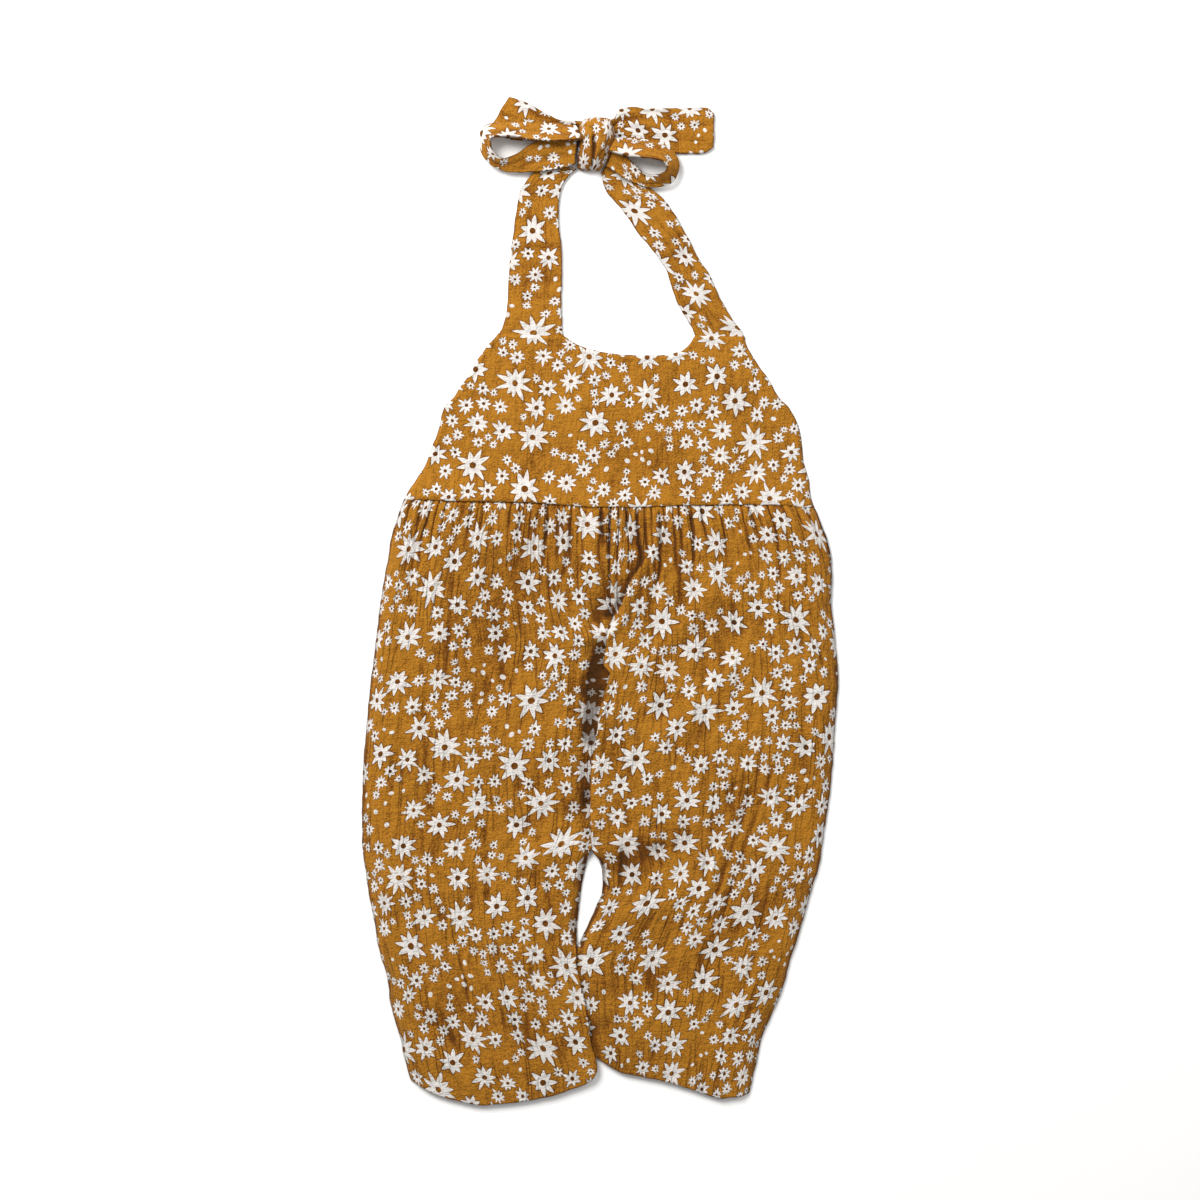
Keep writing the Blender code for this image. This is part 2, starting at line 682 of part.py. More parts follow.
def leg_back(panel, colour):
    """Plain back of one leg, flat on the surface."""
    leg = Leg(panel)
    left = panel == "left"
    inner = curve(BACK_INNER, 1 if left else 2)
    start = WAIST_SEAM[0][1] - CASING_HEIGHT - SEAM
    shares = (0.0, 0.25, 0.5, 0.75, 1.0)
    levels = [start] + list(LEG_ROWS) + [BACK_END]
    built = []
    for level in levels:
        down = (levels[0] - level) / (levels[0] - levels[-1])
        points = []
        for share in shares:
            y = level
            for _ in range(ROUNDS):
                x = mix(leg.outer(y) + leg.turn * BACK_INSET, inner(y), share)
                y = mix(start, leg.ends(x, y)[1] + HEM_INSET, down)
            points.append((x, y))
        outer_row = [(x, y, BACK_CLOTH) for x, y in points]
        inner_row = [(x, y, 0.0) for x, y in points]
        built.append((list(range(len(shares))), outer_row, inner_row))
    return wall("leg_back_" + panel, built, colour)


def back_waist(colour):
    left, right = curve(SIDE_EDGES, 1), curve(SIDE_EDGES, 2)
    top = WAIST_SEAM[0][1] - LAYER
    built = []
    for y in (top, top - CASING_HEIGHT / 2.0, top - CASING_HEIGHT + LAYER):
        a, b = left(y) + BACK_INSET, right(y) - BACK_INSET
        xs = [mix(a, b, i / 6.0) for i in range(7)]
        built.append((list(range(7)), [(x, y, BACK_CLOTH) for x in xs], [(x, y, 0.0) for x in xs]))
    return wall("back_waist", built, colour)


def bodice(colour):
    left, right = curve(SIDE_EDGES, 1), curve(SIDE_EDGES, 2)
    top_edge, seam, rise = curve(TOP_EDGE, 1), curve(WAIST_SEAM, 1), curve(BODICE_RISE, 1)
    columns = [lambda a, b, d=d: a + d for d in OUTER_COLUMNS]
    columns += [lambda a, b, s=s: mix(a, b, s) for s in BODICE_COLUMNS]
    columns += [lambda a, b, d=d: b - d for d in reversed(OUTER_COLUMNS)]
    ids = list(range(len(columns)))
    built = []
    for share in BODICE_ROWS:
        outer, inner = [], []
        for x_of in columns:
            y = 100.0
            for _ in range(ROUNDS):
                x = x_of(left(y), right(y))
                bottom = seam(x) + SEAM / 2.0
                y = mix(y, mix(top_edge(x), bottom, share), 0.8)
            side = min(x - left(y), right(y) - x)
            low = rolled(side, rise(y - bottom))
            free = min(side, top_edge(x) - y)
            puff = 0.5 * ease(free / 30.0) + fold_height(BODICE_FOLDS, "bodice", x, y) * ease(free / 12.0)
            thick = mix(1.0, BODICE_CLOTH, ease(free / 2.0))
            inner.append((x, y, low))
            outer.append((x, y, low + thick + puff))
        built.append((ids, outer, inner))
    return wall("bodice_front", built, colour)


def tie(name, table, colour):
    """A flat tube of cloth between two edges."""
    indexed = [(i,) + tuple(row) for i, row in enumerate(table)]
    ways = [curve(indexed, c) for c in range(1, 7)]
    count = int((len(table) - 1) / TIE_STEP) + 1
    stations = []
    for k in range(count):
        value = [way(k * TIE_STEP) for way in ways]
        stations.append((np.array(value[:3]), np.array(value[3:])))
    points, rings = [], []
    for k, (a, b) in enumerate(stations):
        before = stations[max(k - 1, 0)]
        after = stations[min(k + 1, count - 1)]
        forward = (after[0] + after[1]) - (before[0] + before[1])
        across = b - a
        width = np.linalg.norm(across)
        across = across / width
        normal = np.cross(across, forward)
        normal = normal / np.linalg.norm(normal)
        middle = (a + b) / 2.0
        half = TIE_CLOTH / 2.0
        ring = (
            (-width / 2.0, 0.0),
            (-width / 2.0 + EDGE_ROUND, half),
            (width / 2.0 - EDGE_ROUND, half),
            (width / 2.0, 0.0),
            (width / 2.0 - EDGE_ROUND, -half),
            (-width / 2.0 + EDGE_ROUND, -half),
        )
        first = len(points)
        for u, v in ring:
            point = middle + across * u + normal * v
            points.append((point[0], point[1], max(point[2], 0.0)))
        rings.append(list(range(first, first + len(ring))))
    return make(name, points, tube_faces(rings), colour)


def tube_faces(rings):
    faces = [tuple(rings[0]), tuple(rings[-1])]
    for a, b in zip(rings, rings[1:]):
        for i in range(len(a)):
            j = (i + 1) % len(a)
            faces.append((a[i], a[j], b[j], b[i]))
    return faces


def knot(colour):
    """The ties' turn round the middle of the bow, with what it holds inside it, as one rounded solid."""
    points, rings = [], []
    arc = 9
    for y, left, right, height in KNOT_RINGS:
        first = len(points)
        middle, half = (left + right) / 2.0, (right - left) / 2.0
        for i in range(arc):
            angle = math.pi * i / (arc - 1)
            points.append((middle + half * math.cos(angle), y, 1.0 + (height - 1.0) * math.sin(angle)))
        points.append((middle - half * 0.8, y, 0.0))
        points.append((middle + half * 0.8, y, 0.0))
        rings.append(list(range(first, len(points))))
    return make("bow_knot", points, tube_faces(rings), colour)


def centre(things):
    """Moves the whole garment so that the middle of its outline is at the origin."""
    spots = np.array([vertex.co[:] for thing in things for vertex in thing.data.vertices])
    shift = (spots.max(axis=0) + spots.min(axis=0)) / 2.0
    shift[2] = spots[:, 2].min()
    for thing in things:
        for vertex in thing.data.vertices:
            vertex.co.x -= shift[0]
            vertex.co.y -= shift[1]
            vertex.co.z -= shift[2]


def main():
    clear()
    ochre = (0.44, 0.18, 0.026, 1.0)
    light = (0.50, 0.21, 0.034, 1.0)
    deep = (0.36, 0.14, 0.02, 1.0)
    things = [
        bodice(light),
        leg_front("left", ochre),
        leg_front("right", light),
        leg_back("left", deep),
        leg_back("right", deep),
        back_waist(deep),
        tie("strap_left", STRAP_LEFT, light),
        tie("strap_right", STRAP_RIGHT, light),
        tie("bow_tail_left", TAIL_LEFT, ochre),
        tie("bow_tail_right", TAIL_RIGHT, ochre),
        tie("bow_loop_left", LOOP_LEFT, light),
        tie("bow_loop_right", LOOP_RIGHT, light),
        knot(deep),
    ]
    centre(things)


main()
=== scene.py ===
"""Baby halter romper of crinkled double-gauze muslin, laid flat with its neck ties in a bow."""

import math
from functools import partial

import bpy
import numpy as np
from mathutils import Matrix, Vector


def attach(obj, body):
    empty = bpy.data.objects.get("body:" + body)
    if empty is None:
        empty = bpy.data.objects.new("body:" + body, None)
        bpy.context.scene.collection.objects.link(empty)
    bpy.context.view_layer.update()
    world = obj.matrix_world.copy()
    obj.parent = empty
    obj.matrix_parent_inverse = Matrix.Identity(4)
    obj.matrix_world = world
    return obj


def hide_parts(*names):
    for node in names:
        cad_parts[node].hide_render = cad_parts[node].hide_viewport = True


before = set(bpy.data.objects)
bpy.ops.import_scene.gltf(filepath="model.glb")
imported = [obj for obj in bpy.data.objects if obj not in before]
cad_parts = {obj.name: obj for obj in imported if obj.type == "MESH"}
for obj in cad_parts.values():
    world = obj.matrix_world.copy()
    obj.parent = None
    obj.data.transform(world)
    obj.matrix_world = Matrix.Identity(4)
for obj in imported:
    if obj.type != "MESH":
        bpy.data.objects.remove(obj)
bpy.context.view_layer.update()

bl_info = {
    "name": "Halter romper laid flat",
    "version": (1, 0, 0),
    "blender": (4, 5, 0),
    "location": "3D View > Sidebar > Romper",
    "description": "Makes a printed muslin romper from its cut, gathers and ties",
    "category": "Add Mesh",
}

# Lengths are in millimetres, but the settings are in metres, as Blender shows them.
MM = 0.001
METRE = 1000.0
MIDDLE = (-0.34, 0.9)      # what is added to the tables' own x and y to put them in the frame
EDGE_WAVE = 0.6            # how far the puckers pull the cloth's edges in and out
SETTLE_ROUNDS = 14         # rounds in which a grid settles between edges that bend
TUCK = 2.4                 # how far each leg's front runs up under the bodice
LEAST_HEIGHT = 0.04        # height over the floor that the cloth's inside keeps
LEAST_CLOTH = 0.02         # thickness that the cloth keeps away from its edge
EDGE_DARK = 0.9            # width of the edge that turns away from the light
CODE_STEP = 16.0           # a motif's code is its number times this, plus its petals
NO_MOTIF = 9.0             # place in a motif's circle, far outside it, of a face that it doesn't reach

# Sizes that the solids have too
LEG_CLOTH = 1.2            # height of a leg's outside over its underside
BODICE_CLOTH = 1.6         # height of the bodice's outside over its underside
SEAM = 0.55                # gap between two pieces at a seam
SIDE_ROLL = 16.0           # width over which a side edge rounds up
GATHERS = 26               # in each leg's front
THINNEST = -0.15           # least and most that a fold adds to the outside of the cloth
THICKEST = 1.8
BACK_INSET = 3.4           # the back panels end this far inside the front's side edges
HEM_INSET = 1.0            # and this far above its hems
CASING_HEIGHT = 25.0       # elastic casing across the back

# Width and length over which each grid is laid, about those of its panel
BODICE_GRID = (260.0, 106.0)
LEG_GRID = (140.0, 350.0)
BACK_GRID = (140.0, 330.0)
KNOT_GRID = (34.0, 33.5)
WAIST_HALF = 130.0         # waist seam of one leg
PRINT_DRAW = (0.93, 0.96)  # share of the cut's width and length that shows of the legs' print
TIE_WIDTH = 30.0           # a pressed tie where nothing bunches it

# Outline of the bodice and legs: how far each side reaches at each height.
SIDE_EDGES = (
    # y, left, right
    (166.6, -62.8, 89.4), (157.2, -70.9, 92.8), (149.7, -76.6, 97.2), (142.2, -80.3, 102.2),
    (134.7, -85.6, 107.5), (127.2, -90.3, 111.2), (119.7, -97.2, 118.4), (112.2, -99.1, 122.8),
    (104.7, -100.9, 125.3), (97.2, -104.1, 126.6), (89.7, -106.6, 127.2), (82.2, -109.7, 128.4),
    (74.7, -114.7, 130.9), (67.2, -119.7, 131.6), (59.7, -123.4, 133.4), (52.2, -125.9, 136.6),
    (37.2, -130.3, 142.2), (24.7, -132.2, 144.7), (12.2, -134.7, 145.3), (-0.3, -136.6, 144.7),
    (-25.3, -139.7, 147.2), (-50.3, -142.8, 149.1), (-75.3, -145.3, 147.2), (-100.3, -147.2, 145.9),
    (-125.3, -148.4, 143.4), (-150.3, -148.4, 139.4), (-162.8, -147.2, 138.1), (-175.3, -145.3, 134.4),
    (-187.8, -143.4, 130.6), (-200.3, -140.9, 126.9), (-212.8, -139.1, 123.4), (-225.3, -135.9, 119.1),
    (-237.8, -132.2, 115.9), (-250.3, -130.9, 111.6), (-262.8, -127.8, 105.9), (-275.3, -124.1, 100.9),
    (-287.8, -121.6, 98.4), (-300.3, -117.8, 95.3), (-314.7, -112.2, 92.2),
)

# Waist seam, as it runs across the front.
WAIST_SEAM = (
    # x, y
    (-127.8, 62.8), (-121.6, 62.2), (-80.9, 60.9), (-41.6, 60.0), (0.3, 57.2), (20.3, 57.2),
    (52.2, 58.4), (87.8, 58.8), (114.7, 58.4), (137.8, 55.9),
)

# Top edge of the bodice: the base of each strap and the neckline scoop between them.
TOP_EDGE = (
    # x, y
    (-65.3, 166.6), (-43.4, 165.9), (-24.7, 165.6), (-22.2, 164.7), (-18.4, 162.2), (-13.4, 159.4),
    (-5.9, 156.6), (4.1, 154.4), (15.9, 152.8), (28.4, 152.5), (40.9, 153.1), (49.1, 154.5),
    (54.1, 157.2), (57.2, 160.9), (59.1, 164.1), (60.9, 165.6), (75.3, 165.3), (91.6, 164.7),
)

# Hems: height of the edge at each share of the way from the side to the inner leg.
LEFT_HEM = (
    # along, y
    (0, -300.2), (0.04, -303.9), (0.09, -308.0), (0.2, -312.4), (0.35, -315.7), (0.5, -314.6),
    (0.63, -312.7), (0.745, -310.4), (0.855, -306.1), (0.95, -302.1), (0.985, -298.6), (1, -294.6),
)

# Right hem.
RIGHT_HEM = (
    # along, y
    (0, -308.3), (0.04, -310.2), (0.1, -310.8), (0.165, -311.6), (0.24, -310.2), (0.32, -307.4),
    (0.455, -303.3), (0.59, -299.9), (0.68, -298.0), (0.79, -295.8), (0.9, -290.5), (0.955, -286.8),
    (1, -283.9),
)

# Inner edge of each leg's front, with the share of the full height that it keeps, the height of its
# underside, the width that lies flat beside it, the width over which it rounds up, and what the
# turned cloth adds at the edge.
# Inner edge of the left leg's front.
LEFT_INNER = (
    # y, x, hold, edge_z, tongue, roll, turned
    (63.4, 2.2, 1, 1.5, 0, 10, 0.0), (24.7, 2.2, 0.9, 1.5, 0, 12, 0.0),
    (12.2, 2.2, 0.6, 1.5, 1, 12, 0.0), (-0.3, 2.2, 0.28, 1.5, 3, 12, 0.0),
    (-10.3, 4.1, 0.05, 1.5, 6, 11, 0.0), (-17.8, 5.9, 0, 1.5, 7.5, 10, 0.0),
    (-25.3, 7.8, 0, 1.5, 8, 9, 0.0), (-44.1, 5.9, 0, 1.5, 9.5, 9, 0.0),
    (-62.8, 4.1, 0, 1.5, 10.5, 9, 0.0), (-100.3, 0.9, 0, 1.5, 10.5, 9, 0.0),
    (-125.3, 0.3, 0, 1.5, 9, 8, 0.0), (-137.8, 0.3, 0, 1.5, 8.5, 8, 0.0),
    (-149.1, -2.2, 0, 1.5, 5, 6, 0.0), (-156.6, -5.6, 0, 1.5, 1.5, 5, 0.0),
    (-166.6, -8.8, 0, 0, 0, 5, 0.0), (-176.6, -10.7, 0, 0, 0, 5, 0.0), (-190.9, -12.6, 0, 0, 0, 5, 0.0),
    (-204.7, -14.1, 0, 0, 0, 5, 0.0), (-214.7, -14.2, 0, 1.5, 0, 5, 0.0),
    (-219.1, -13.9, 0, 3.3, 0, 5, 0.0), (-227.8, -14.4, 0, 3.4, 0, 6, 0.0),
    (-238.4, -11.9, 0, 3.4, 0, 6, 0.0), (-250.3, -9.4, 0, 3.4, 0, 6, 0.0),
    (-262.2, -6.9, 0, 3.4, 0, 6, 0.0), (-275.3, -5.3, 0, 3.4, 0, 6, 0.0),
    (-286.6, -2.4, 0, 3.4, 0, 6, 0.0), (-293.4, -1.4, 0, 3.4, 0, 6, 0.0),
    (-314.7, -3.4, 0, 3.4, 0, 6, 0.0),
)
# Inner edge of the right leg's front.
RIGHT_INNER = (
    # y, x, hold, edge_z, tongue, roll, turned
    (63.4, 2.8, 1, 3.15, 0, 8, 0.0), (-7.8, 2.8, 1, 3.15, 0, 8, 0.0), (-16.6, 2.8, 0.6, 3.15, 0, 8, 0.7),
    (-25.3, 2.8, 0, 3.15, 0, 8, 0.7), (-37.8, 0.9, 0, 3.15, 0, 8, 1.4),
    (-50.3, -1.6, 0, 3.15, 0, 8, 1.4), (-62.8, -3.4, 0, 3.15, 0, 8, 1.4),
    (-75.3, -4.7, 0, 3.15, 0, 8, 1.4), (-100.3, -5.3, 0, 3.15, 0, 8, 1.4),
    (-125.3, -5.9, 0, 3.15, 0, 8, 1.4), (-147.2, -5.6, 0, 3.15, 0, 8, 1.4),
    (-156.6, -4.4, 0, 3.15, 0, 8, 0.8), (-162.8, -0.3, 0, 1.2, 0, 6, 0.0),
    (-167.8, 1.4, 0, 0, 0, 5, 0.0), (-176.6, 1.9, 0, 0, 0, 5, 0.0), (-184.1, 1.4, 0, 0, 0, 5, 0.0),
    (-191.6, -2.5, 0, 0, 0, 5, 0.0), (-198.4, -5.0, 0, 0, 0, 5, 0.0), (-205.3, -8.4, 0, 0, 0, 5, 0.0),
    (-213.4, -12.2, 0, 0, 0.5, 5, 0.0), (-219.1, -14.1, 0, 1.5, 2, 6, 0.0),
    (-228.4, -16.6, 0, 1.5, 3.2, 8, 0.0), (-238.4, -14.7, 0, 1.5, 3.5, 8, 0.0),
    (-250.3, -12.2, 0, 1.5, 3.5, 8, 0.0), (-262.8, -9.7, 0, 1.5, 3.5, 8, 0.0),
    (-278.4, -7.2, 0, 1.5, 3.5, 8, 0.0), (-284.7, -5.9, 0, 1.5, 3.5, 8, 0.0),
    (-314.7, -5.9, 0, 1.5, 3.5, 8, 0.0),
)

# Inner edges of the back legs.
BACK_INNER = (
    # y, left, right
    (36.6, 0.3, 0.9), (-137.8, -0.3, 0.3), (-149.1, -3.4, -0.6), (-156.6, -8.1, -0.6),
    (-161.6, -10.3, 2.8), (-167.8, -12.2, 4.6), (-176.6, -13.8, 5.1), (-184.1, -15.0, 4.4),
    (-191.6, -15.9, 0.6), (-198.4, -16.6, -1.9), (-205.3, -17.2, -5.3), (-213.4, -17.2, -9.1),
    (-219.1, -16.9, -12.2), (-228.4, -16.6, -15.9), (-238.4, -14.7, -14.1), (-250.3, -12.2, -11.6),
    (-262.8, -9.7, -9.1), (-278.4, -7.2, -6.6), (-314.7, -5.9, -5.3),
)

# Height of the fronts' underside over the surface, near the seams and hems.
SEAM_RISE = (
    # distance below the seam, height of the underside
    (0.0, 2.8),
    (4.0, 3.1),
    (12.0, 3.7),
    (22.0, 3.9),
)
HEM_RISE = (
    # distance above the hem, height of the underside
    (0.0, 2.5),
    (10.0, 3.3),
    (25.0, 3.9),
)
BODICE_RISE = (
    # distance above the seam, height of the underside
    (0.0, 2.8), (5.0, 2.7), (11.0, 1.9), (20.0, 0.6), (30.0, 0.0),
)
# Width of cloth that each leg's front was cut to, by distance below the waist seam.
CUT_WIDTH = (
    # below, width
    (0.0, 176.0), (40.0, 166.0), (90.0, 156.0), (150.0, 150.0), (210.0, 146.0), (290.0, 136.0),
    (370.0, 122.0),
)
# Gathers of a leg's front by share across it: how high they are and how far down they reach.
GATHER_SIZE = (
    # along, height, length
    (0.0, 0.9, 34.0), (0.14, 1.5, 62.0), (0.3, 1.2, 44.0), (0.5, 0.9, 28.0), (0.68, 1.3, 46.0),
    (0.85, 1.8, 64.0), (1.0, 1.7, 54.0),
)

# Largest folds of the legs: a line, its half width and its height, below zero for a trough.
FOLDS = {
    # x0, y0, x1, y1, half_width, height
    "left": (
        (-30.9, -28.4, 2.8, -17.8, 5.5, 1.2), (-3.4, 24.7, -5.9, -15.9, 3.0, 0.7),
        (-113.4, -252.2, -85.9, -279.1, 3.0, -0.6), (-107.2, -247.8, -80.9, -272.8, 3.5, 0.8),
        (-99.7, -287.8, -79.7, -307.8, 3.5, 0.7), (-129.7, 34.1, -137.8, -56.6, 3.0, 0.7),
        (-27.2, -137.8, -24.7, -225.3, 6.0, 0.5), (-80.9, -175.3, -62.2, -225.3, 5.0, 0.4),
    ),
    "right": (
        (33.4, 33.4, 19.1, 4.7, 3.6, 1.5), (19.1, 4.7, 3.4, -25.3, 3.6, 1.5),
        (2.2, -31.6, -0.9, -87.8, 4.5, 0.7), (-1.6, -87.8, -2.2, -149.1, 4.5, 0.8),
        (2.8, -141.6, 50.3, -149.1, 4.0, 0.9), (14.1, -156.6, 13.4, -183.4, 2.6, -0.6),
        (20.3, -154.1, 19.1, -187.8, 3.0, 0.9), (98.4, -122.2, 72.8, -187.8, 2.6, -0.5),
        (87.8, -119.1, 62.8, -190.9, 2.8, 0.7), (77.8, -125.3, 56.6, -187.8, 2.6, -0.5),
        (62.8, -190.9, 42.8, -240.9, 3.0, 0.6), (34.7, -172.2, 14.1, -209.7, 3.2, 0.6),
        (12.8, -250.3, 20.3, -287.8, 4.0, 0.6), (31.6, -281.6, 42.8, -297.2, 4.0, -0.5),
    ),
}
# Painted shade in hollows that little light reaches, beside the lap and in the folds; depth is how dark it
# is.
SHADES = {
    # x0, y0, x1, y1, half_width, depth
    "left": (
        (3.4, -26.6, 0.3, -42.8, 3.8, 0.6), (1.6, -37.8, -4.1, -61.6, 8.1, 0.8),
        (-3.4, -55.3, -6.6, -89.1, 4.4, 0.95), (-6.6, -87.8, -9.1, -125.3, 3.1, 0.6),
        (3.4, 0.9, 5.9, -14.1, 2.5, 1.1), (-2.2, 24.7, 1.6, -0.3, 3.1, 0.3),
        (-0.9, 54.7, 0.3, 29.7, 3.1, 0.35), (-24.7, 49.7, -27.2, 24.7, 2.5, 0.3),
        (-18.4, -31.6, -9.1, -62.8, 8.8, 0.15),
    ),
    "right": (
        (22.8, 49.7, 26.6, 27.2, 2.5, 0.45), (37.8, 52.8, 37.2, 17.2, 1.4, 0.6),
        (47.2, 49.7, 42.8, 24.7, 2.5, 0.25), (13.4, -154.1, 12.2, -180.3, 1.1, 1.3),
        (19.7, -156.6, 16.6, -178.4, 4.4, 0.4), (2.8, -176.6, 12.2, -183.4, 1.6, 1.0),
        (25.3, -140.3, 39.1, -144.1, 4.4, 0.35), (6.6, -154.1, 34.7, -154.1, 2.5, 0.3),
        (0.3, -136.6, -2.2, -145.3, 1.6, 0.5),
    ),
}
# Where the two fronts' inner edges run in the finished cloth, to the right of the solids' edges.
FORK = (
    # y, right, left
    (63.4, 5.0, 5.0), (24.7, 4.4, 4.4), (-0.3, 5.0, 5.0), (-9.7, 5.9, 5.9), (-20.3, 2.2, 3.1),
    (-28.4, 1.1, 2.5), (-34.7, 1.2, 2.5), (-40.3, 1.9, 3.4), (-44.1, 5.6, 5.0), (-47.2, 7.5, 5.6),
    (-54.7, 6.2, 5.3), (-62.8, 5.0, 4.7), (-70.3, 4.1, 3.8), (-76.6, 3.8, 3.4), (-86.6, 2.8, 2.5),
    (-95.3, 1.2, 1.6), (-103.4, 0.0, 0.6), (-125.3, 0.0, 0.0), (-314.7, 0.0, 0.0),
)
# Lit edge of the fold in which the right front runs down to the lap, from its top.
LAP_FOLD = (
    # x, y
    (29.1, 27.2), (27.2, 22.8), (21.6, 15.3), (17.2, 5.9), (14.1, -2.2), (9.7, -9.7), (4.7, -20.3),
    (2.2, -26.6),
)
# Small creases, and broad soft folds and hollows, that only the finished cloth has.
CREASES = {
    # x0, y0, x1, y1, half_width, height
    "left": (
        (-113.4, -255.3, -89.7, -276.6, 2.2, -0.35), (-97.8, -289.1, -80.9, -306.6, 2.2, -0.35),
        (-124.7, 24.7, -129.7, -62.8, 2.0, -0.3), (-92.2, 24.7, -95.9, -56.6, 2.0, -0.3),
        (-62.2, -25.3, -59.1, -100.3, 2.4, -0.28), (-109.1, -62.8, -105.9, -137.8, 2.2, -0.28),
        (-37.2, -62.8, -32.2, -125.3, 2.2, -0.28), (-74.7, -119.1, -69.7, -187.8, 2.4, -0.28),
        (-32.2, -175.3, -27.2, -244.1, 2.4, -0.35), (-49.7, -225.3, -43.4, -287.8, 2.2, -0.28),
        (-2.2, 55.9, -1.6, 34.1, 1.1, -1.2), (5.3, 47.2, 2.8, -0.3, 1.6, -0.8),
        (-18.4, 52.2, -22.2, 15.3, 1.8, -0.6), (2.8, -26.6, -4.1, -57.8, 6.5, -0.7),
        (-2.2, -56.6, -5.9, -90.9, 4.5, -0.8), (-10.9, -29.1, 4.1, -18.4, 2.8, 0.9),
        (0.9, -10.9, 7.8, -0.9, 2.4, -0.9), (-32.2, 29.7, -32.2, -0.3, 1.2, -0.5),
        (-20.9, 54.7, -92.2, -57.8, 22.0, -0.5), (4.1, -21.6, -62.2, -70.3, 9.0, 1.5),
        (-105.9, -89.1, -18.4, -87.8, 14.0, 0.9), (4.1, -122.8, -20.9, -130.3, 8.0, -0.9),
        (-14.7, -130.3, -50.9, -140.3, 6.0, -0.4), (-122.2, 49.7, -130.9, -206.6, 10.0, 0.7),
        (0.3, -150.3, -49.7, -159.1, 7.0, 1.0), (-104.7, -87.8, -117.2, -187.8, 8.0, -0.18),
        (-112.2, -256.6, -18.4, -278.4, 26.0, -0.3),
    ),
    "right": (
        (100.3, -0.3, 105.3, -87.8, 2.2, -0.3), (125.3, -12.8, 129.1, -112.8, 2.2, -0.35),
        (62.8, -12.8, 64.7, -87.8, 2.2, -0.28), (37.8, -50.3, 35.3, -125.3, 2.2, -0.28),
        (110.3, -100.3, 76.6, -194.1, 1.8, -0.45), (92.8, -125.3, 66.6, -200.3, 1.8, -0.4),
        (84.7, -175.3, 56.6, -244.1, 2.0, -0.35), (25.3, -187.8, 31.6, -250.3, 2.2, -0.3),
        (106.6, -175.3, 89.1, -244.1, 2.2, -0.3), (20.3, -184.7, 11.6, -198.4, 1.8, -0.5),
        (14.7, 57.2, 16.6, 42.2, 1.3, -1.3), (11.6, 49.7, 10.3, 24.7, 2.4, 0.6),
        (21.6, 43.4, 25.3, 29.7, 1.4, -0.8), (30.3, 54.7, 34.1, 32.2, 2.0, 0.7),
        (37.2, 54.7, 37.8, 32.2, 1.1, -1.2), (37.8, 32.2, 35.9, 9.7, 1.3, -0.9),
        (50.9, 49.7, 49.7, -0.3, 1.2, -0.6), (57.2, 54.7, 59.1, 24.7, 1.1, -0.5),
        (45.3, 49.7, 49.1, 15.3, 1.6, -0.6), (17.8, 15.3, 7.8, -75.3, 7.0, 0.9),
        (107.8, 57.2, 119.1, -87.8, 26.0, 1.0), (30.3, -35.9, 74.1, 2.8, 6.0, 1.5),
        (28.4, -92.2, 92.8, -31.6, 8.0, 1.6), (-2.2, -165.3, 56.6, -147.8, 9.0, -0.8),
        (66.6, -141.6, 95.3, -116.6, 9.0, -0.35), (9.1, -195.3, 65.9, -177.8, 11.0, 1.3),
        (-9.1, -240.3, 45.3, -234.1, 8.0, -0.35), (62.8, -226.6, 129.1, -171.6, 12.0, -0.38),
        (-3.4, -261.6, 4.1, -300.3, 13.0, -0.7), (15.9, -261.6, 67.8, -250.3, 10.0, 0.9),
        (110.3, -222.2, 95.3, -290.9, 10.0, -0.3),
    ),
    "strap_left": (
        (-55.9, 217.2, -24.7, 220.3, 2.6, -0.55), (-57.2, 205.9, -22.2, 210.9, 2.0, -0.3),
        (-57.2, 197.2, -27.2, 199.7, 3.2, -0.5), (-49.7, 187.2, -23.4, 189.7, 2.2, -0.4),
        (-54.7, 239.7, -34.1, 234.7, 2.2, -0.3), (-47.2, 255.9, -23.4, 252.2, 2.6, -0.45),
    ),
    "strap_right": (
        (39.1, 210.9, 62.8, 220.9, 3.0, -0.5), (34.7, 218.4, 54.1, 229.7, 2.2, -0.35),
        (45.3, 193.4, 70.3, 202.2, 2.2, -0.35), (52.8, 184.7, 76.6, 175.9, 2.4, -0.4),
        (11.6, 240.9, 25.3, 253.4, 2.4, -0.4), (2.8, 255.9, 20.3, 264.7, 2.6, -0.5),
    ),
    "bow_tail_right": (
        (42.8, 309.7, 47.8, 277.2, 2.4, -0.45), (25.3, 305.9, 57.8, 295.9, 2.6, -0.35),
        (14.1, 295.9, 40.3, 289.7, 2.4, -0.5), (7.8, 297.2, 27.8, 302.2, 2.0, -0.6),
        (7.8, 290.9, 31.6, 282.2, 2.0, -0.6),
    ),
    "bow_loop_left": (
        (-27.2, 293.4, -62.2, 290.9, 2.6, -0.4), (-20.9, 275.9, -49.7, 272.2, 2.6, -0.4),
    ),
    "bow_loop_right": (
        (14.1, 283.4, 39.1, 280.9, 2.2, -0.35),
    ),
    "bow_tail_left": (
        (-49.7, 304.7, -13.4, 294.7, 2.0, -0.5),
    ),
    "bodice": (
        (-58.0, 150.0, -52.0, 78.0, 6.0, 0.4), (52.0, 146.0, 60.0, 82.0, 5.0, 0.5),
        (68.0, 140.0, 82.0, 84.0, 5.0, 0.4), (-10.0, 130.0, -4.0, 70.0, 7.0, 0.35),
        (22.0, 126.0, 26.0, 74.0, 6.0, 0.35), (44.0, 147.0, 91.0, 106.0, 14.0, -0.35),
        (0.0, 94.0, 63.0, 69.0, 11.0, -0.35), (-75.0, 110.0, 20.0, 118.0, 12.0, 0.5),
    ),
}

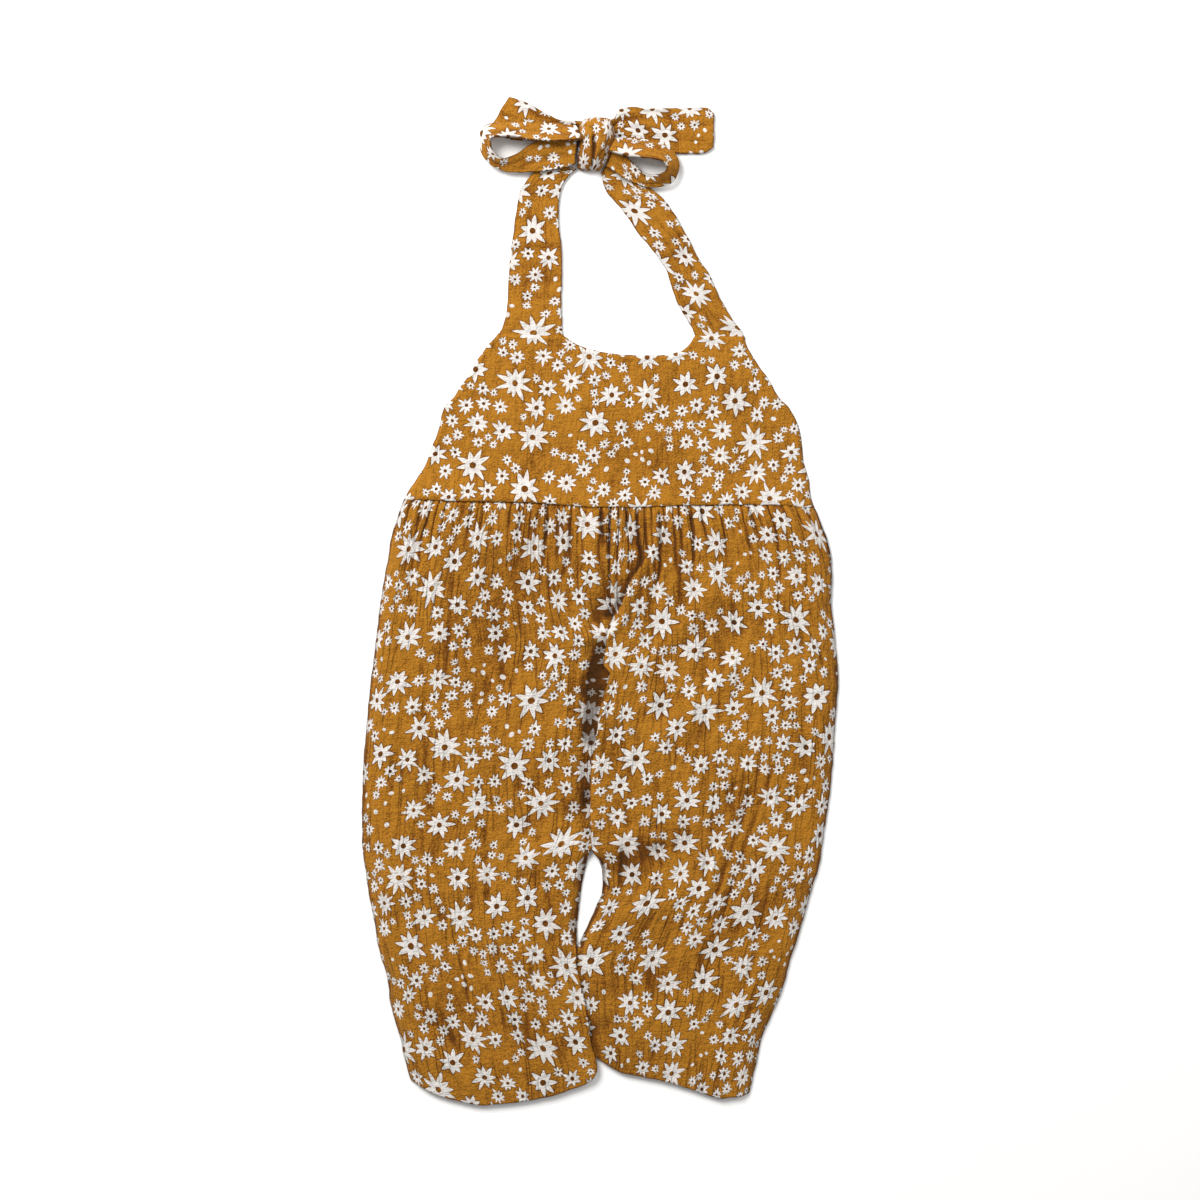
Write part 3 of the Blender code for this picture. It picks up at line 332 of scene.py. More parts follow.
# Ties: each row has a point on one edge and the point across from it on the other.
# Left neck tie.
STRAP_LEFT = (
    # ax, ay, az, bx, by, bz
    (-63.1, 164.4, 1.1, -22.3, 163.7, 1.1), (-62.2, 166.9, 1.1, -22.8, 166.1, 1.1),
    (-60.9, 169.1, 1.2, -23.3, 169.1, 1.2), (-59.4, 173.4, 1.3, -23.4, 173.4, 1.3),
    (-57.2, 187.2, 1.3, -24.1, 187.2, 1.3), (-56.6, 202.2, 1.3, -23.4, 202.2, 1.3),
    (-55.3, 217.2, 1.3, -23.4, 217.2, 1.3), (-53.4, 232.2, 1.3, -25.3, 231.6, 1.3),
    (-51.6, 244.7, 1.3, -25.6, 243.4, 1.3), (-49.7, 254.7, 1.3, -24.7, 253.4, 1.3),
    (-45.3, 262.2, 1.3, -22.2, 260.3, 1.3), (-38.4, 269.1, 1.3, -18.4, 265.3, 1.3),
    (-27.2, 274.7, 1.3, -14.2, 268.9, 1.3),
)
# Right neck tie.
STRAP_RIGHT = (
    # ax, ay, az, bx, by, bz
    (60.6, 163.7, 1.1, 91.2, 162.9, 1.1), (59.2, 166.1, 1.1, 89.7, 165.4, 1.1),
    (57.8, 169.7, 1.2, 87.2, 169.7, 1.2), (55.3, 173.4, 1.3, 84.4, 173.4, 1.3),
    (47.8, 187.2, 1.3, 75.3, 188.4, 1.3), (42.8, 202.2, 1.3, 67.8, 204.1, 1.3),
    (38.8, 210.9, 1.3, 61.6, 213.4, 1.3), (31.9, 219.7, 1.3, 56.2, 224.7, 1.3),
    (25.0, 227.8, 1.3, 51.2, 233.4, 1.3), (16.9, 239.7, 1.3, 44.7, 244.1, 1.3),
    (10.6, 247.8, 1.3, 38.1, 252.2, 1.3), (4.4, 254.7, 1.3, 30.9, 257.8, 1.3),
    (1.9, 261.6, 1.3, 21.6, 265.9, 1.3), (1.1, 267.6, 1.3, 7.7, 274.1, 1.3),
)
# Free end to the upper left.
TAIL_LEFT = (
    # ax, ay, az, bx, by, bz
    (-56.6, 313.9, 1.3, -69.4, 292.8, 1.3), (-51.6, 312.8, 1.3, -62.2, 289.1, 1.3),
    (-43.4, 309.4, 1.3, -50.3, 286.6, 1.3), (-32.2, 303.1, 1.3, -35.3, 285.9, 1.3),
    (-24.1, 299.7, 1.3, -24.7, 285.9, 1.3), (-12.5, 298.9, 1.3, -14.3, 288.4, 1.3),
    (-5.9, 297.5, 1.3, -7.2, 287.2, 1.3),
)
# Free end to the right.
TAIL_RIGHT = (
    # ax, ay, az, bx, by, bz
    (-0.3, 298.4, 1.3, 0.9, 287.2, 1.3), (8.8, 300.6, 1.3, 10.3, 286.6, 1.3),
    (12.2, 306.2, 1.3, 15.3, 282.2, 1.3), (21.6, 307.6, 1.3, 23.4, 279.7, 1.3),
    (30.9, 306.8, 1.3, 31.6, 278.9, 1.3), (52.8, 307.0, 1.3, 52.8, 278.4, 1.3),
    (65.9, 307.5, 1.3, 65.3, 278.8, 1.3), (71.7, 303.4, 1.3, 71.2, 282.8, 1.3),
)
# Left loop: outer edge, then the edge round its hole.
LOOP_LEFT = (
    # ax, ay, az, bx, by, bz
    (-14.1, 295.4, 5.9, -10.6, 285.9, 12.0), (-27.2, 296.9, 4.3, -26.6, 285.0, 12.6),
    (-43.4, 297.5, 3.8, -40.9, 285.3, 12.6), (-57.2, 297.8, 3.7, -54.1, 287.8, 12.0),
    (-68.4, 296.6, 3.7, -63.4, 288.1, 11.4), (-74.1, 291.9, 3.7, -67.8, 286.2, 10.9),
    (-74.7, 283.4, 3.7, -67.5, 281.6, 10.4), (-71.2, 275.3, 3.7, -64.1, 277.2, 9.7),
    (-65.0, 269.4, 3.7, -59.7, 274.7, 8.9), (-55.3, 266.6, 3.8, -52.8, 277.2, 7.6),
    (-43.4, 266.6, 4.0, -44.1, 283.1, 6.9), (-30.9, 267.8, 4.3, -31.6, 287.5, 6.9),
    (-15.0, 271.2, 5.4, -14.1, 287.8, 7.4),
)
# Right loop: outer edge, then the edge round its hole.
LOOP_RIGHT = (
    # ax, ay, az, bx, by, bz
    (10.0, 287.4, 5.9, 5.3, 279.1, 12.0), (20.3, 287.6, 4.3, 17.2, 275.6, 12.6),
    (30.3, 286.9, 3.8, 27.2, 274.7, 12.4), (39.7, 283.8, 3.7, 35.3, 273.8, 11.9),
    (46.9, 278.4, 3.7, 40.3, 271.9, 11.4), (49.7, 271.2, 3.7, 41.9, 269.1, 10.9),
    (48.0, 263.8, 3.7, 40.3, 266.2, 10.2), (42.2, 258.2, 3.7, 35.9, 264.7, 9.4),
    (32.5, 257.2, 3.7, 29.1, 265.0, 8.4), (22.8, 259.4, 3.8, 23.4, 269.7, 7.6),
    (14.7, 263.4, 4.2, 17.8, 275.0, 7.0), (4.1, 270.1, 5.4, 8.4, 280.3, 7.4),
)

# Knot: width and height of each ring, from the top down.
KNOT_RINGS = (
    # y, left, right, height
    (301.1, -7.8, 4.4, 4.5), (299.7, -10.3, 6.9, 8.5), (296.6, -12.5, 8.4, 11.5),
    (290.9, -13.6, 9.6, 14.0), (284.1, -13.9, 9.1, 15.0), (277.2, -14.1, 7.2, 14.4),
    (272.2, -14.2, 4.4, 12.0), (269.4, -13.8, 2.2, 9.0), (267.6, -10.9, -0.9, 5.0),
)
KNOT_CREASES = (
    # share across at its top, at its bottom, first and last share down, half width, depth
    (0.04, 0.06, 0.34, 0.95, 0.03, 0.9), (0.27, 0.35, 0.42, 0.9, 0.02, 0.35),
    (0.44, 0.56, 0.36, 0.97, 0.042, 2.0), (0.1, 0.62, 0.14, 0.3, 0.05, 0.5),
    (0.86, 0.7, 0.3, 0.8, 0.04, 0.6),
)


# ---------------------------------------------------------------- arithmetic


def curve(rows, column, key=0):
    """Smooth curve without overshoot through one column of a table, for arrays."""
    pairs = sorted((row[key], row[column]) for row in rows)
    keys = np.array([pair[0] for pair in pairs], float)
    values = np.array([pair[1] for pair in pairs], float)
    steps = np.diff(values) / np.diff(keys)
    slopes = np.empty(len(keys))
    slopes[0], slopes[-1] = steps[0], steps[-1]
    same = steps[:-1] * steps[1:] > 0.0
    total = np.where(same, steps[:-1] + steps[1:], 1.0)
    slopes[1:-1] = np.where(same, 2.0 * steps[:-1] * steps[1:] / total, 0.0)

    def at(place):
        place = np.clip(place, keys[0], keys[-1])
        i = np.clip(np.searchsorted(keys, place) - 1, 0, len(keys) - 2)
        length = keys[i + 1] - keys[i]
        u = (place - keys[i]) / length
        rise = values[i + 1] - values[i]
        bend = slopes[i] * length
        end = slopes[i + 1] * length
        return values[i] + u * (bend + u * (3.0 * rise - 2.0 * bend - end + u * (bend + end - 2.0 * rise)))

    return at


def ease(value):
    value = np.clip(value, 0.0, 1.0)
    return value * value * (3.0 - 2.0 * value)


def mix(a, b, share):
    return a + (b - a) * share


def rounding(distance, radius):
    """Height of a rounded edge as a share of its full height."""
    inside = np.clip(distance / radius, 0.0, 1.0)
    return np.sqrt(1.0 - (1.0 - inside) ** 2)


def hump(away, half_width):
    """A soft hump across a line: 1 on the line, and next to nothing at twice the half width."""
    return np.exp(-((away / half_width) ** 2))


def rolled(distance, level):
    """Height of an underside that rounds up from a side edge to its level."""
    return level * (1.0 - (1.0 - np.clip(distance / SIDE_ROLL, 0.0, 1.0)) ** 4)


def noise(x, y, seed):
    """Smooth seeded noise, about -0.7 to 0.7, one lump to a unit of length."""
    turns = np.random.default_rng(seed).random((64, 64)) * 2.0 * math.pi
    xi, yi = np.floor(x).astype(int), np.floor(y).astype(int)
    fx, fy = x - xi, y - yi
    total = 0.0
    for dx in (0, 1):
        for dy in (0, 1):
            turn = turns[(xi + dx) % 64, (yi + dy) % 64]
            slope = np.cos(turn) * (fx - dx) + np.sin(turn) * (fy - dy)
            wx = ease(fx) if dx else 1.0 - ease(fx)
            wy = ease(fy) if dy else 1.0 - ease(fy)
            total = total + slope * wx * wy
    return total


def crinkle(x, y, seed):
    """The puckers of double gauze, about -1 to 1: low cushions, and thin sharp valleys that come and go."""
    bent = x + 1.2 * noise(x / 30.0, y / 25.0, seed)
    line = np.clip(1.0 - 5.5 * np.abs(noise(bent / 6.0, y / 55.0, seed + 1)), 0.0, 1.0)
    shown = np.clip(0.35 + 1.6 * noise(x / 27.0, y / 24.0, seed + 4), 0.0, 1.0)
    fine = noise(x / 2.3, y / 13.0, seed + 2)
    cushions = noise(x / 5.5, y / 6.5, seed + 3)
    return 0.55 * fine + 0.6 * cushions - 0.9 * line ** 2 * shown


def swell(x, y, seed):
    """The slow rise and fall of cloth that has been laid down by hand, about -1 to 1."""
    return 1.5 * noise(x / 42.0, y / 55.0, seed) + 0.7 * noise(x / 19.0, y / 30.0, seed + 1)


def hollow(height, rows, columns, depth):
    """How far each place of a grid lies below the cloth round it, 0 to 1: where less light comes."""
    level = height
    for axis, half in ((0, rows), (1, columns)) * 2:
        wide = np.pad(level, [(half + 1, half) if axis == k else (0, 0) for k in (0, 1)], mode="edge")
        total = np.cumsum(wide, axis=axis)
        size = 2 * half + 1
        count = total.shape[axis] - size
        ahead, behind = (np.take(total, range(first, first + count), axis) for first in (size, 0))
        level = (ahead - behind) / size
    return np.clip((level - height) / depth, 0.0, 1.0)


def fold_height(folds, panel, x, y):
    """Height of one panel's folds, each along a slightly bowed line and fading at its ends."""
    total = np.zeros_like(x)
    for x0, y0, x1, y1, half_width, height in folds.get(panel, ()):
        length = math.hypot(x1 - x0, y1 - y0)
        along = ((x - x0) * (x1 - x0) + (y - y0) * (y1 - y0)) / length ** 2
        across = ((x - x0) * (y1 - y0) - (y - y0) * (x1 - x0)) / length
        bow = 0.36 * half_width * np.sin(3.0 * along + x0)
        ends = ease(np.minimum(along, 1.0 - along) / 0.3 + 0.5)
        total += height * ends * hump(across + bow, half_width)
    return total


def lap_fold(x, y):
    """Height of the fold above the lap, a lit edge with a hollow to its left, and how dark the hollow is."""
    start, end = LAP_FOLD[0][1], LAP_FOLD[-1][1]
    away = x - curve(LAP_FOLD, 0, key=1)(y)
    shown = ease((start + 4.0 - y) / 9.0) * ease((y - end) / 8.0)
    right = ease(away / 1.6 + 0.5)
    height = mix(-1.8 * hump(away, 7.0), 0.8 * hump(away, 6.0), right)
    lower = ease((start - y) / 45.0)
    dark = (1.0 - right) * mix(0.5, 1.5, lower) * hump(away, mix(7.0, 4.5, lower))
    return shown * height, shown * dark


# ---------------------------------------------------------------- print


def scatter(settings):
    """The print's repeat: a row for each flower or dot, with x, y, size, turn, petals. Its own layout."""
    repeat = settings.repeat * METRE
    pick = np.random.default_rng(settings.seed)
    kinds = (
        # tries, least radius, most radius, closeness, fewest petals, most petals, share beside another
        (1500, 9.8, 12.4, 1.1, 9, 10, 0.0),
        (4000, 7.8, 9.8, 0.9, 8, 10, 0.6),
        (5000, 5.4, 7.2, 0.86, 8, 9, 0.8),
        (6000, 4.1, 5.2, 0.84, 7, 9, 0.85),
        (9000, 2.9, 3.9, 0.84, 7, 8, 0.9),
        (4000, 1.2, 1.9, 1.3, 1, 1, 0.0),
    )
    most = settings.flowers
    rows = np.zeros((0, 5))
    for kind, (tries, low, high, close, few, many, near) in enumerate(kinds):
        placed = 0
        for _ in range(tries):
            if placed >= most[kind]:
                break
            radius = pick.uniform(low, high)
            spot = pick.uniform(0.0, repeat, 2)
            if len(rows) and pick.random() < near:
                beside = rows[pick.integers(len(rows))]
                angle = pick.uniform(0.0, 2.0 * math.pi)
                reach = (beside[2] + radius) * close * pick.uniform(1.0, 1.1)
                spot = (beside[:2] + reach * np.array([math.cos(angle), math.sin(angle)])) % repeat
            turn, petals = pick.uniform(0.0, 2.0 * math.pi), pick.integers(few, many + 1)
            if len(rows):
                apart = np.abs(rows[:, :2] - spot)
                apart = np.minimum(apart, repeat - apart)
                if (np.hypot(apart[:, 0], apart[:, 1]) < (rows[:, 2] + radius) * close).any():
                    continue
            rows = np.vstack([rows, [spot[0], spot[1], radius, turn, petals]])
            placed += 1
    return rows


def print_on(mesh, corners, motifs, repeat):
    """Gives each face the two motifs that reach it, as its corners' places in each motif's own circle."""
    faces = len(corners) // 4
    quads = corners.reshape(faces, 4, 2)
    middle = quads.mean(axis=1)
    size = np.abs(quads - middle[:, None]).max() * 1.5
    over = np.zeros((faces, 4, 3))
    over[..., 0] = NO_MOTIF
    under = over.copy()
    codes = CODE_STEP * (np.arange(len(motifs)) + 1) + motifs[:, 4]
    batch = 4000
    for first in range(0, faces, batch):
        part = slice(first, first + batch)
        to = middle[part, None] - motifs[None, :, :2]
        to = (to + repeat / 2.0) % repeat - repeat / 2.0
        reach = np.hypot(to[..., 0], to[..., 1]) - motifs[:, 2]
        nearest = np.sort(np.argpartition(reach, 2, axis=1)[:, :2], axis=1)
        for slot, target in ((0, over), (1, under)):
            which = nearest[:, slot]
            rows = np.arange(len(which))
            near = reach[rows, which] < size
            flower = motifs[which]
            place = quads[part] - middle[part, None] + to[rows, which][:, None]
            cos, sin = np.cos(flower[:, 3])[:, None], np.sin(flower[:, 3])[:, None]
            # the dots are a little oval
            oval = np.where(flower[:, 4] < 2.0, 1.35, 1.0)[:, None]
            local = np.stack(
                [
                    (place[..., 0] * cos + place[..., 1] * sin) / flower[:, 2, None] * oval,
                    (place[..., 1] * cos - place[..., 0] * sin) / flower[:, 2, None],
                    np.repeat(codes[which][:, None], 4, axis=1),
                ],
                axis=2,
            )
            target[part][near] = local[near]
    for name, values in (("motif_over", over), ("motif_under", under)):
        mesh.attributes.new(name, "FLOAT_VECTOR", "CORNER").data.foreach_set("vector", values.ravel())


# ---------------------------------------------------------------- cloth meshes


def cells(grid, order):
    """The four corners of each cell of a grid, one cell to a row."""
    corners = [grid[:-1, :-1], grid[1:, :-1], grid[1:, 1:], grid[:-1, 1:]]
    return np.stack(corners, axis=2).reshape(-1, 4)[:, order]


def sheet_mesh(name, skins, material, motifs, repeat):
    """One closed cloth mesh. Each skin is (outer points, inner points, outer map, inner map, valley),
    whose two grids share their rim; the valley is painted shade, and below zero painted highlight,
    for each point; points and maps are in millimetres."""
    points, faces, maps, bakes, painted_shade_and_highlight = [], [], [], [], []
    first = 0
    for index, (outer, inner, outer_map, inner_map, valley) in enumerate(skins):
        rows, columns = outer.shape[:2]
        top = first + np.arange(rows * columns).reshape(rows, columns)
        low = top.copy()
        within = np.arange((rows - 2) * (columns - 2)).reshape(rows - 2, -1)
        low[1:-1, 1:-1] = first + rows * columns + within
        points += [outer.reshape(-1, 3), inner[1:-1, 1:-1].reshape(-1, 3)]
        painted_shade_and_highlight += [valley.ravel(), valley[1:-1, 1:-1].ravel()]
        first += rows * columns + within.size

        down_step, across_step = outer[1:, :-1] - outer[:-1, :-1], outer[:-1, 1:] - outer[:-1, :-1]
        up = np.cross(down_step, across_step)[..., 2].sum() > 0.0
        # every second skin is the inside of a tube, so it faces the other way
        if index % 2:
            up = not up
        across, down = np.meshgrid(np.linspace(0.0, 1.0, columns), np.linspace(0.0, 1.0, rows))
        # in the map for baking the outside lies on the left and the inside on the right
        for grid, cloth, left, right, turned in (
            (top, outer_map, 0.01, 0.64, not up),
            (low, inner_map, 0.66, 0.99, up),
        ):
            order = [0, 3, 2, 1] if turned else [0, 1, 2, 3]
            faces.append(cells(grid, order))
            baked = mix(left, right, across), (index + 0.01 + 0.98 * (1.0 - down)) / len(skins)
            for target, (u, v) in ((maps, (cloth[..., 0], cloth[..., 1])), (bakes, baked)):
                target.append(np.stack([cells(u, order), cells(v, order)], axis=2).reshape(-1, 2))
    points, faces = np.concatenate(points), np.concatenate(faces)
    shift = [EDGE_WAVE * noise(points[:, 0] / 6.5, points[:, 1] / 6.5, seed) for seed in (91, 92)]
    points[:, :2] += np.stack(shift, axis=1)
    points = (points + np.array([*MIDDLE, 0.0])) * MM
    mesh = bpy.data.meshes.new(name)
    mesh.vertices.add(len(points))
    mesh.vertices.foreach_set("co", points.ravel())
    mesh.loops.add(faces.size)
    mesh.loops.foreach_set("vertex_index", faces.ravel())
    mesh.polygons.add(len(faces))
    mesh.polygons.foreach_set("loop_start", np.arange(len(faces)) * 4)
    mesh.update(calc_edges=True)
    mesh.polygons.foreach_set("use_smooth", np.ones(len(faces), bool))
    maps = np.concatenate(maps)
    mesh.uv_layers.new(name="OFBake").data.foreach_set("uv", np.concatenate(bakes).ravel())
    mesh.uv_layers.new(name="cloth").data.foreach_set("uv", maps.ravel())
    # the valley attribute: painted shade, and below zero painted highlight, that the material mixes into the
    # colour
    mesh.attributes.new("valley", "FLOAT", "POINT").data.foreach_set("value", np.concatenate(painted_shade_and_highlight))
    print_on(mesh, maps, motifs, repeat)
    mesh.materials.append(material)
    piece = bpy.data.objects.new(name, mesh)
    bpy.context.scene.collection.objects.link(piece)
    return piece


def grid_of(columns, rows, size, edge=(0.35, 0.9, 1.8)):
    """Shares across and down a panel, closer together at its edges."""
    lines = []
    for count, width in ((columns, size[0]), (rows, size[1])):
        ends = np.array(edge) / width
        inner = np.linspace(ends[-1], 1.0 - ends[-1], count)[1:-1]
        lines.append(np.concatenate([[0.0], ends, inner, 1.0 - ends[::-1], [1.0]]))
    return np.meshgrid(*lines, indexing="xy")


def rim_distance(across, down, size):
    """Distance of each place of a panel from its rim."""
    return np.minimum(*(np.minimum(share, 1.0 - share) * side for share, side in zip((across, down), size)))


def settle(across, down, start, sides, top_at, bottom_at):
    """x and y of a grid between four edges that bend, and the top and bottom edge's height at each x."""
    y = np.full(across.shape, start)
    for _ in range(SETTLE_ROUNDS):
        x = mix(sides[0](y), sides[1](y), across)
        top, bottom = top_at(x), bottom_at(x, y)
        y = mix(y, mix(top, bottom, down), 0.8)
    return x, y, top, bottom


def shell(outside, thick, lip, wave, inner_wave):
    """Height of the cloth's two sides, which meet in a rounded edge."""
    middle = outside - thick / 2.0
    inner = np.maximum(middle - (thick / 2.0) * lip + inner_wave, LEAST_HEIGHT)
    return np.maximum(middle + (thick / 2.0) * lip + wave, inner + LEAST_CLOTH * (lip > 0.0)), inner


def upright(x, y, outer, inner, flat, valley):
    """A skin whose inner points lie straight under its outer ones."""
    return np.stack([x, y, outer], axis=2), np.stack([x, y, inner], axis=2), flat, flat, valley


def dark_edge(valley, edge):
    """Darkens the outermost strip of the cloth, which turns away from the light."""
    return np.clip(np.maximum(valley, 1.3 * (1.0 - ease(edge / EDGE_DARK))), 0.0, 1.3)


class Leg:
    """Front panel of one leg: where its edges run and how high its underside lies."""

    def __init__(self, panel):
        self.panel = panel
        left = panel == "left"
        inner = LEFT_INNER if left else RIGHT_INNER
        self.turn = 1.0 if left else -1.0
        self.outer = curve(SIDE_EDGES, 1 if left else 2)
        self.inner, self.hold, self.edge_z, self.tongue, self.roll, self.turned = (
            curve(inner, column) for column in range(1, 7))
        self.hem = curve(LEFT_HEM if left else RIGHT_HEM, 1)
        self.seam = curve(WAIST_SEAM, 1)
        self.seam_rise = curve(SEAM_RISE, 1)
        self.hem_rise = curve(HEM_RISE, 1)

    def bottom(self, x, y):
        outer, inner = self.outer(y), self.inner(y)
        return self.hem(np.clip((x - outer) / (inner - outer), 0.0, 1.0))

    def lay(self, across, down):
        """x, y, top and bottom of the panel for shares across and down it, with its tuck above the top."""
        x, y, top, bottom = settle(
            across, down, 0.0, (self.outer, self.inner),
            lambda x: self.seam(x) - SEAM / 2.0 + TUCK, self.bottom)
        return x, y, top - TUCK, bottom

    def underside(self, x, y, top, bottom):
        from_outer = np.abs(x - self.outer(y))
        from_inner = np.abs(x - self.inner(y))
        level = np.minimum(self.seam_rise(top - y), self.hem_rise(y - bottom))
        full = rolled(from_outer, level)
        edge = mix(self.edge_z(y), full, self.hold(y))
        return mix(edge, full, ease((from_inner - self.tongue(y)) / self.roll(y)))

    def folds(self, x, y):
        extra = fold_height(FOLDS, self.panel, x, y)
        from_inner = np.abs(x - self.inner(y))
        return extra + self.turned(y) * (1.0 - ease(from_inner / 7.0))


def gathers(across, below, width, seed):
    """Height that the gathers add below a seam, and how deep in a valley between two each place is."""
    pick = np.random.default_rng(seed)
    k = np.arange(GATHERS)
    widths = 1.0 + 0.3 * np.sin(2.4 * k) + 0.22 * np.sin(5.3 * k + 1.0)
    places = np.concatenate([[0.0], np.cumsum(widths) / widths.sum()])
    size, length = curve(GATHER_SIZE, 1), curve(GATHER_SIZE, 2)
    lively = 1.0 + 0.3 * np.sin(37.0 * across)
    height = size(across) * (0.45 + 0.55 * ease(below / 7.0)) * hump(below, length(across) * lively)
    valley = np.zeros_like(across)
    for place in places:
        depth, reach = pick.uniform(0.5, 1.0) ** 1.6, length(place) * pick.uniform(0.55, 1.55)
        sway, phase = pick.uniform(0.4, 1.3), pick.uniform(0.0, 6.0)
        wide = pick.uniform(0.4, 0.85) * (1.0 + below / 75.0)
        line = place * width + sway * np.sin(below / 15.0 + phase) * ease(below / 12.0)
        valley = np.maximum(valley, depth * hump(across * width - line, wide) * hump(below, reach))
    return height, valley


# ---------------------------------------------------------------- materials


def linear(colour):
    """An sRGB hex colour as linear red, green, blue and full alpha."""
    parts = [int(colour[i:i + 2], 16) / 255.0 for i in (1, 3, 5)]
    return tuple(p / 12.92 if p <= 0.04045 else ((p + 0.055) / 1.055) ** 2.4 for p in parts) + (1.0,)


def add(tree, kind, *inputs, **settings):
    """Adds a node with its settings; a second word of its kind is its operation. Links or sets its
    inputs in their order, and gives its first output."""
    kind, _, operation = kind.partition(" ")
    made = tree.nodes.new("ShaderNode" + kind)
    if operation:
        made.operation = operation
    for name, value in settings.items():
        setattr(made, name, value)
    for socket, value in zip([socket for socket in made.inputs if socket.enabled], inputs):
        if isinstance(value, bpy.types.NodeSocket):
            tree.links.new(value, socket)
        elif value is not None:
            socket.default_value = value
    return next(socket for socket in made.outputs if socket.enabled)


def motif(tree, name):
    """One of the two motifs that can reach a face: its whole shape, its printed part and its rim."""
    node = partial(add, tree)
    place = node("SeparateXYZ", node("Attribute", attribute_name=name).node.outputs["Vector"])
    x, y, code = place.node.outputs
    code = node("Math ROUND", code)
    seed = node("Math FLOOR", node("Math DIVIDE", code, CODE_STEP))
    petals = node("Math MODULO", code, CODE_STEP)
    count = node("Math MAXIMUM", petals, 1.0)
    away = node("VectorMath LENGTH", node("CombineXYZ", x, y, 0.0)).node.outputs["Value"]
    turn = node("Math MULTIPLY_ADD", node("Math ARCTAN2", y, x), 0.5 / math.pi, 0.5)
    turn = node("Math MULTIPLY", turn, count)
    petal = node("Math FLOOR", turn)
    chance = node("TexWhiteNoise", node("CombineXYZ", petal, seed, 0.0), noise_dimensions="2D")
    chance = node("SeparateXYZ", chance.node.outputs["Color"]).node.outputs
    lean = node("Math MULTIPLY_ADD", chance[0], 0.32, -0.66)
    off = node("Math ADD", node("Math SUBTRACT", turn, petal), lean)
    off = node("Math DIVIDE", node("Math MULTIPLY", off, 2.0 * math.pi), count)
    along = node("Math MULTIPLY", away, node("Math COSINE", off))
    side = node("Math ABSOLUTE", node("Math MULTIPLY", away, node("Math SINE", off)))
    reach = node("Math MULTIPLY_ADD", chance[1], 0.38, 0.66)
    broad = node("Math DIVIDE", node("Math MULTIPLY_ADD", chance[2], 0.35, 1.16), count)
    taper = node("Math MULTIPLY_ADD", along, -0.5, 1.2)
    tip = node("Math MINIMUM", node("Math DIVIDE", along, reach), 1.4)
    tip = node("Math SUBTRACT", 1.0, node("Math POWER", tip, 5.0))
    leaf = node("Math MULTIPLY", node("Math MULTIPLY", broad, taper), tip)
    leaf = node("Math SUBTRACT", leaf, side)
    leaf = node("Math MAXIMUM", leaf, node("Math SUBTRACT", 0.41, away))
    flower = node("Math GREATER_THAN", petals, 2.0)
    inside = node("Mix", flower, node("Math SUBTRACT", 1.0, away), leaf, data_type="FLOAT")
    shape = node("Math GREATER_THAN", inside, 0.0)
    eye = node("Math MULTIPLY_ADD", node("Math SUBTRACT", 10.0, petals), 0.02, 0.15)
    eye = node("Math MULTIPLY", eye, flower)
    printed = node("Math MULTIPLY", shape, node("Math GREATER_THAN", away, eye))
    small = node("Math MULTIPLY_ADD", node("Math SUBTRACT", 10.0, petals), 0.6, 1.0)
    rim = node("MapRange", inside, -0.1, 0.0, 0.0, node("Mix", flower, 1.0, small, data_type="FLOAT"))
    return shape, printed, rim


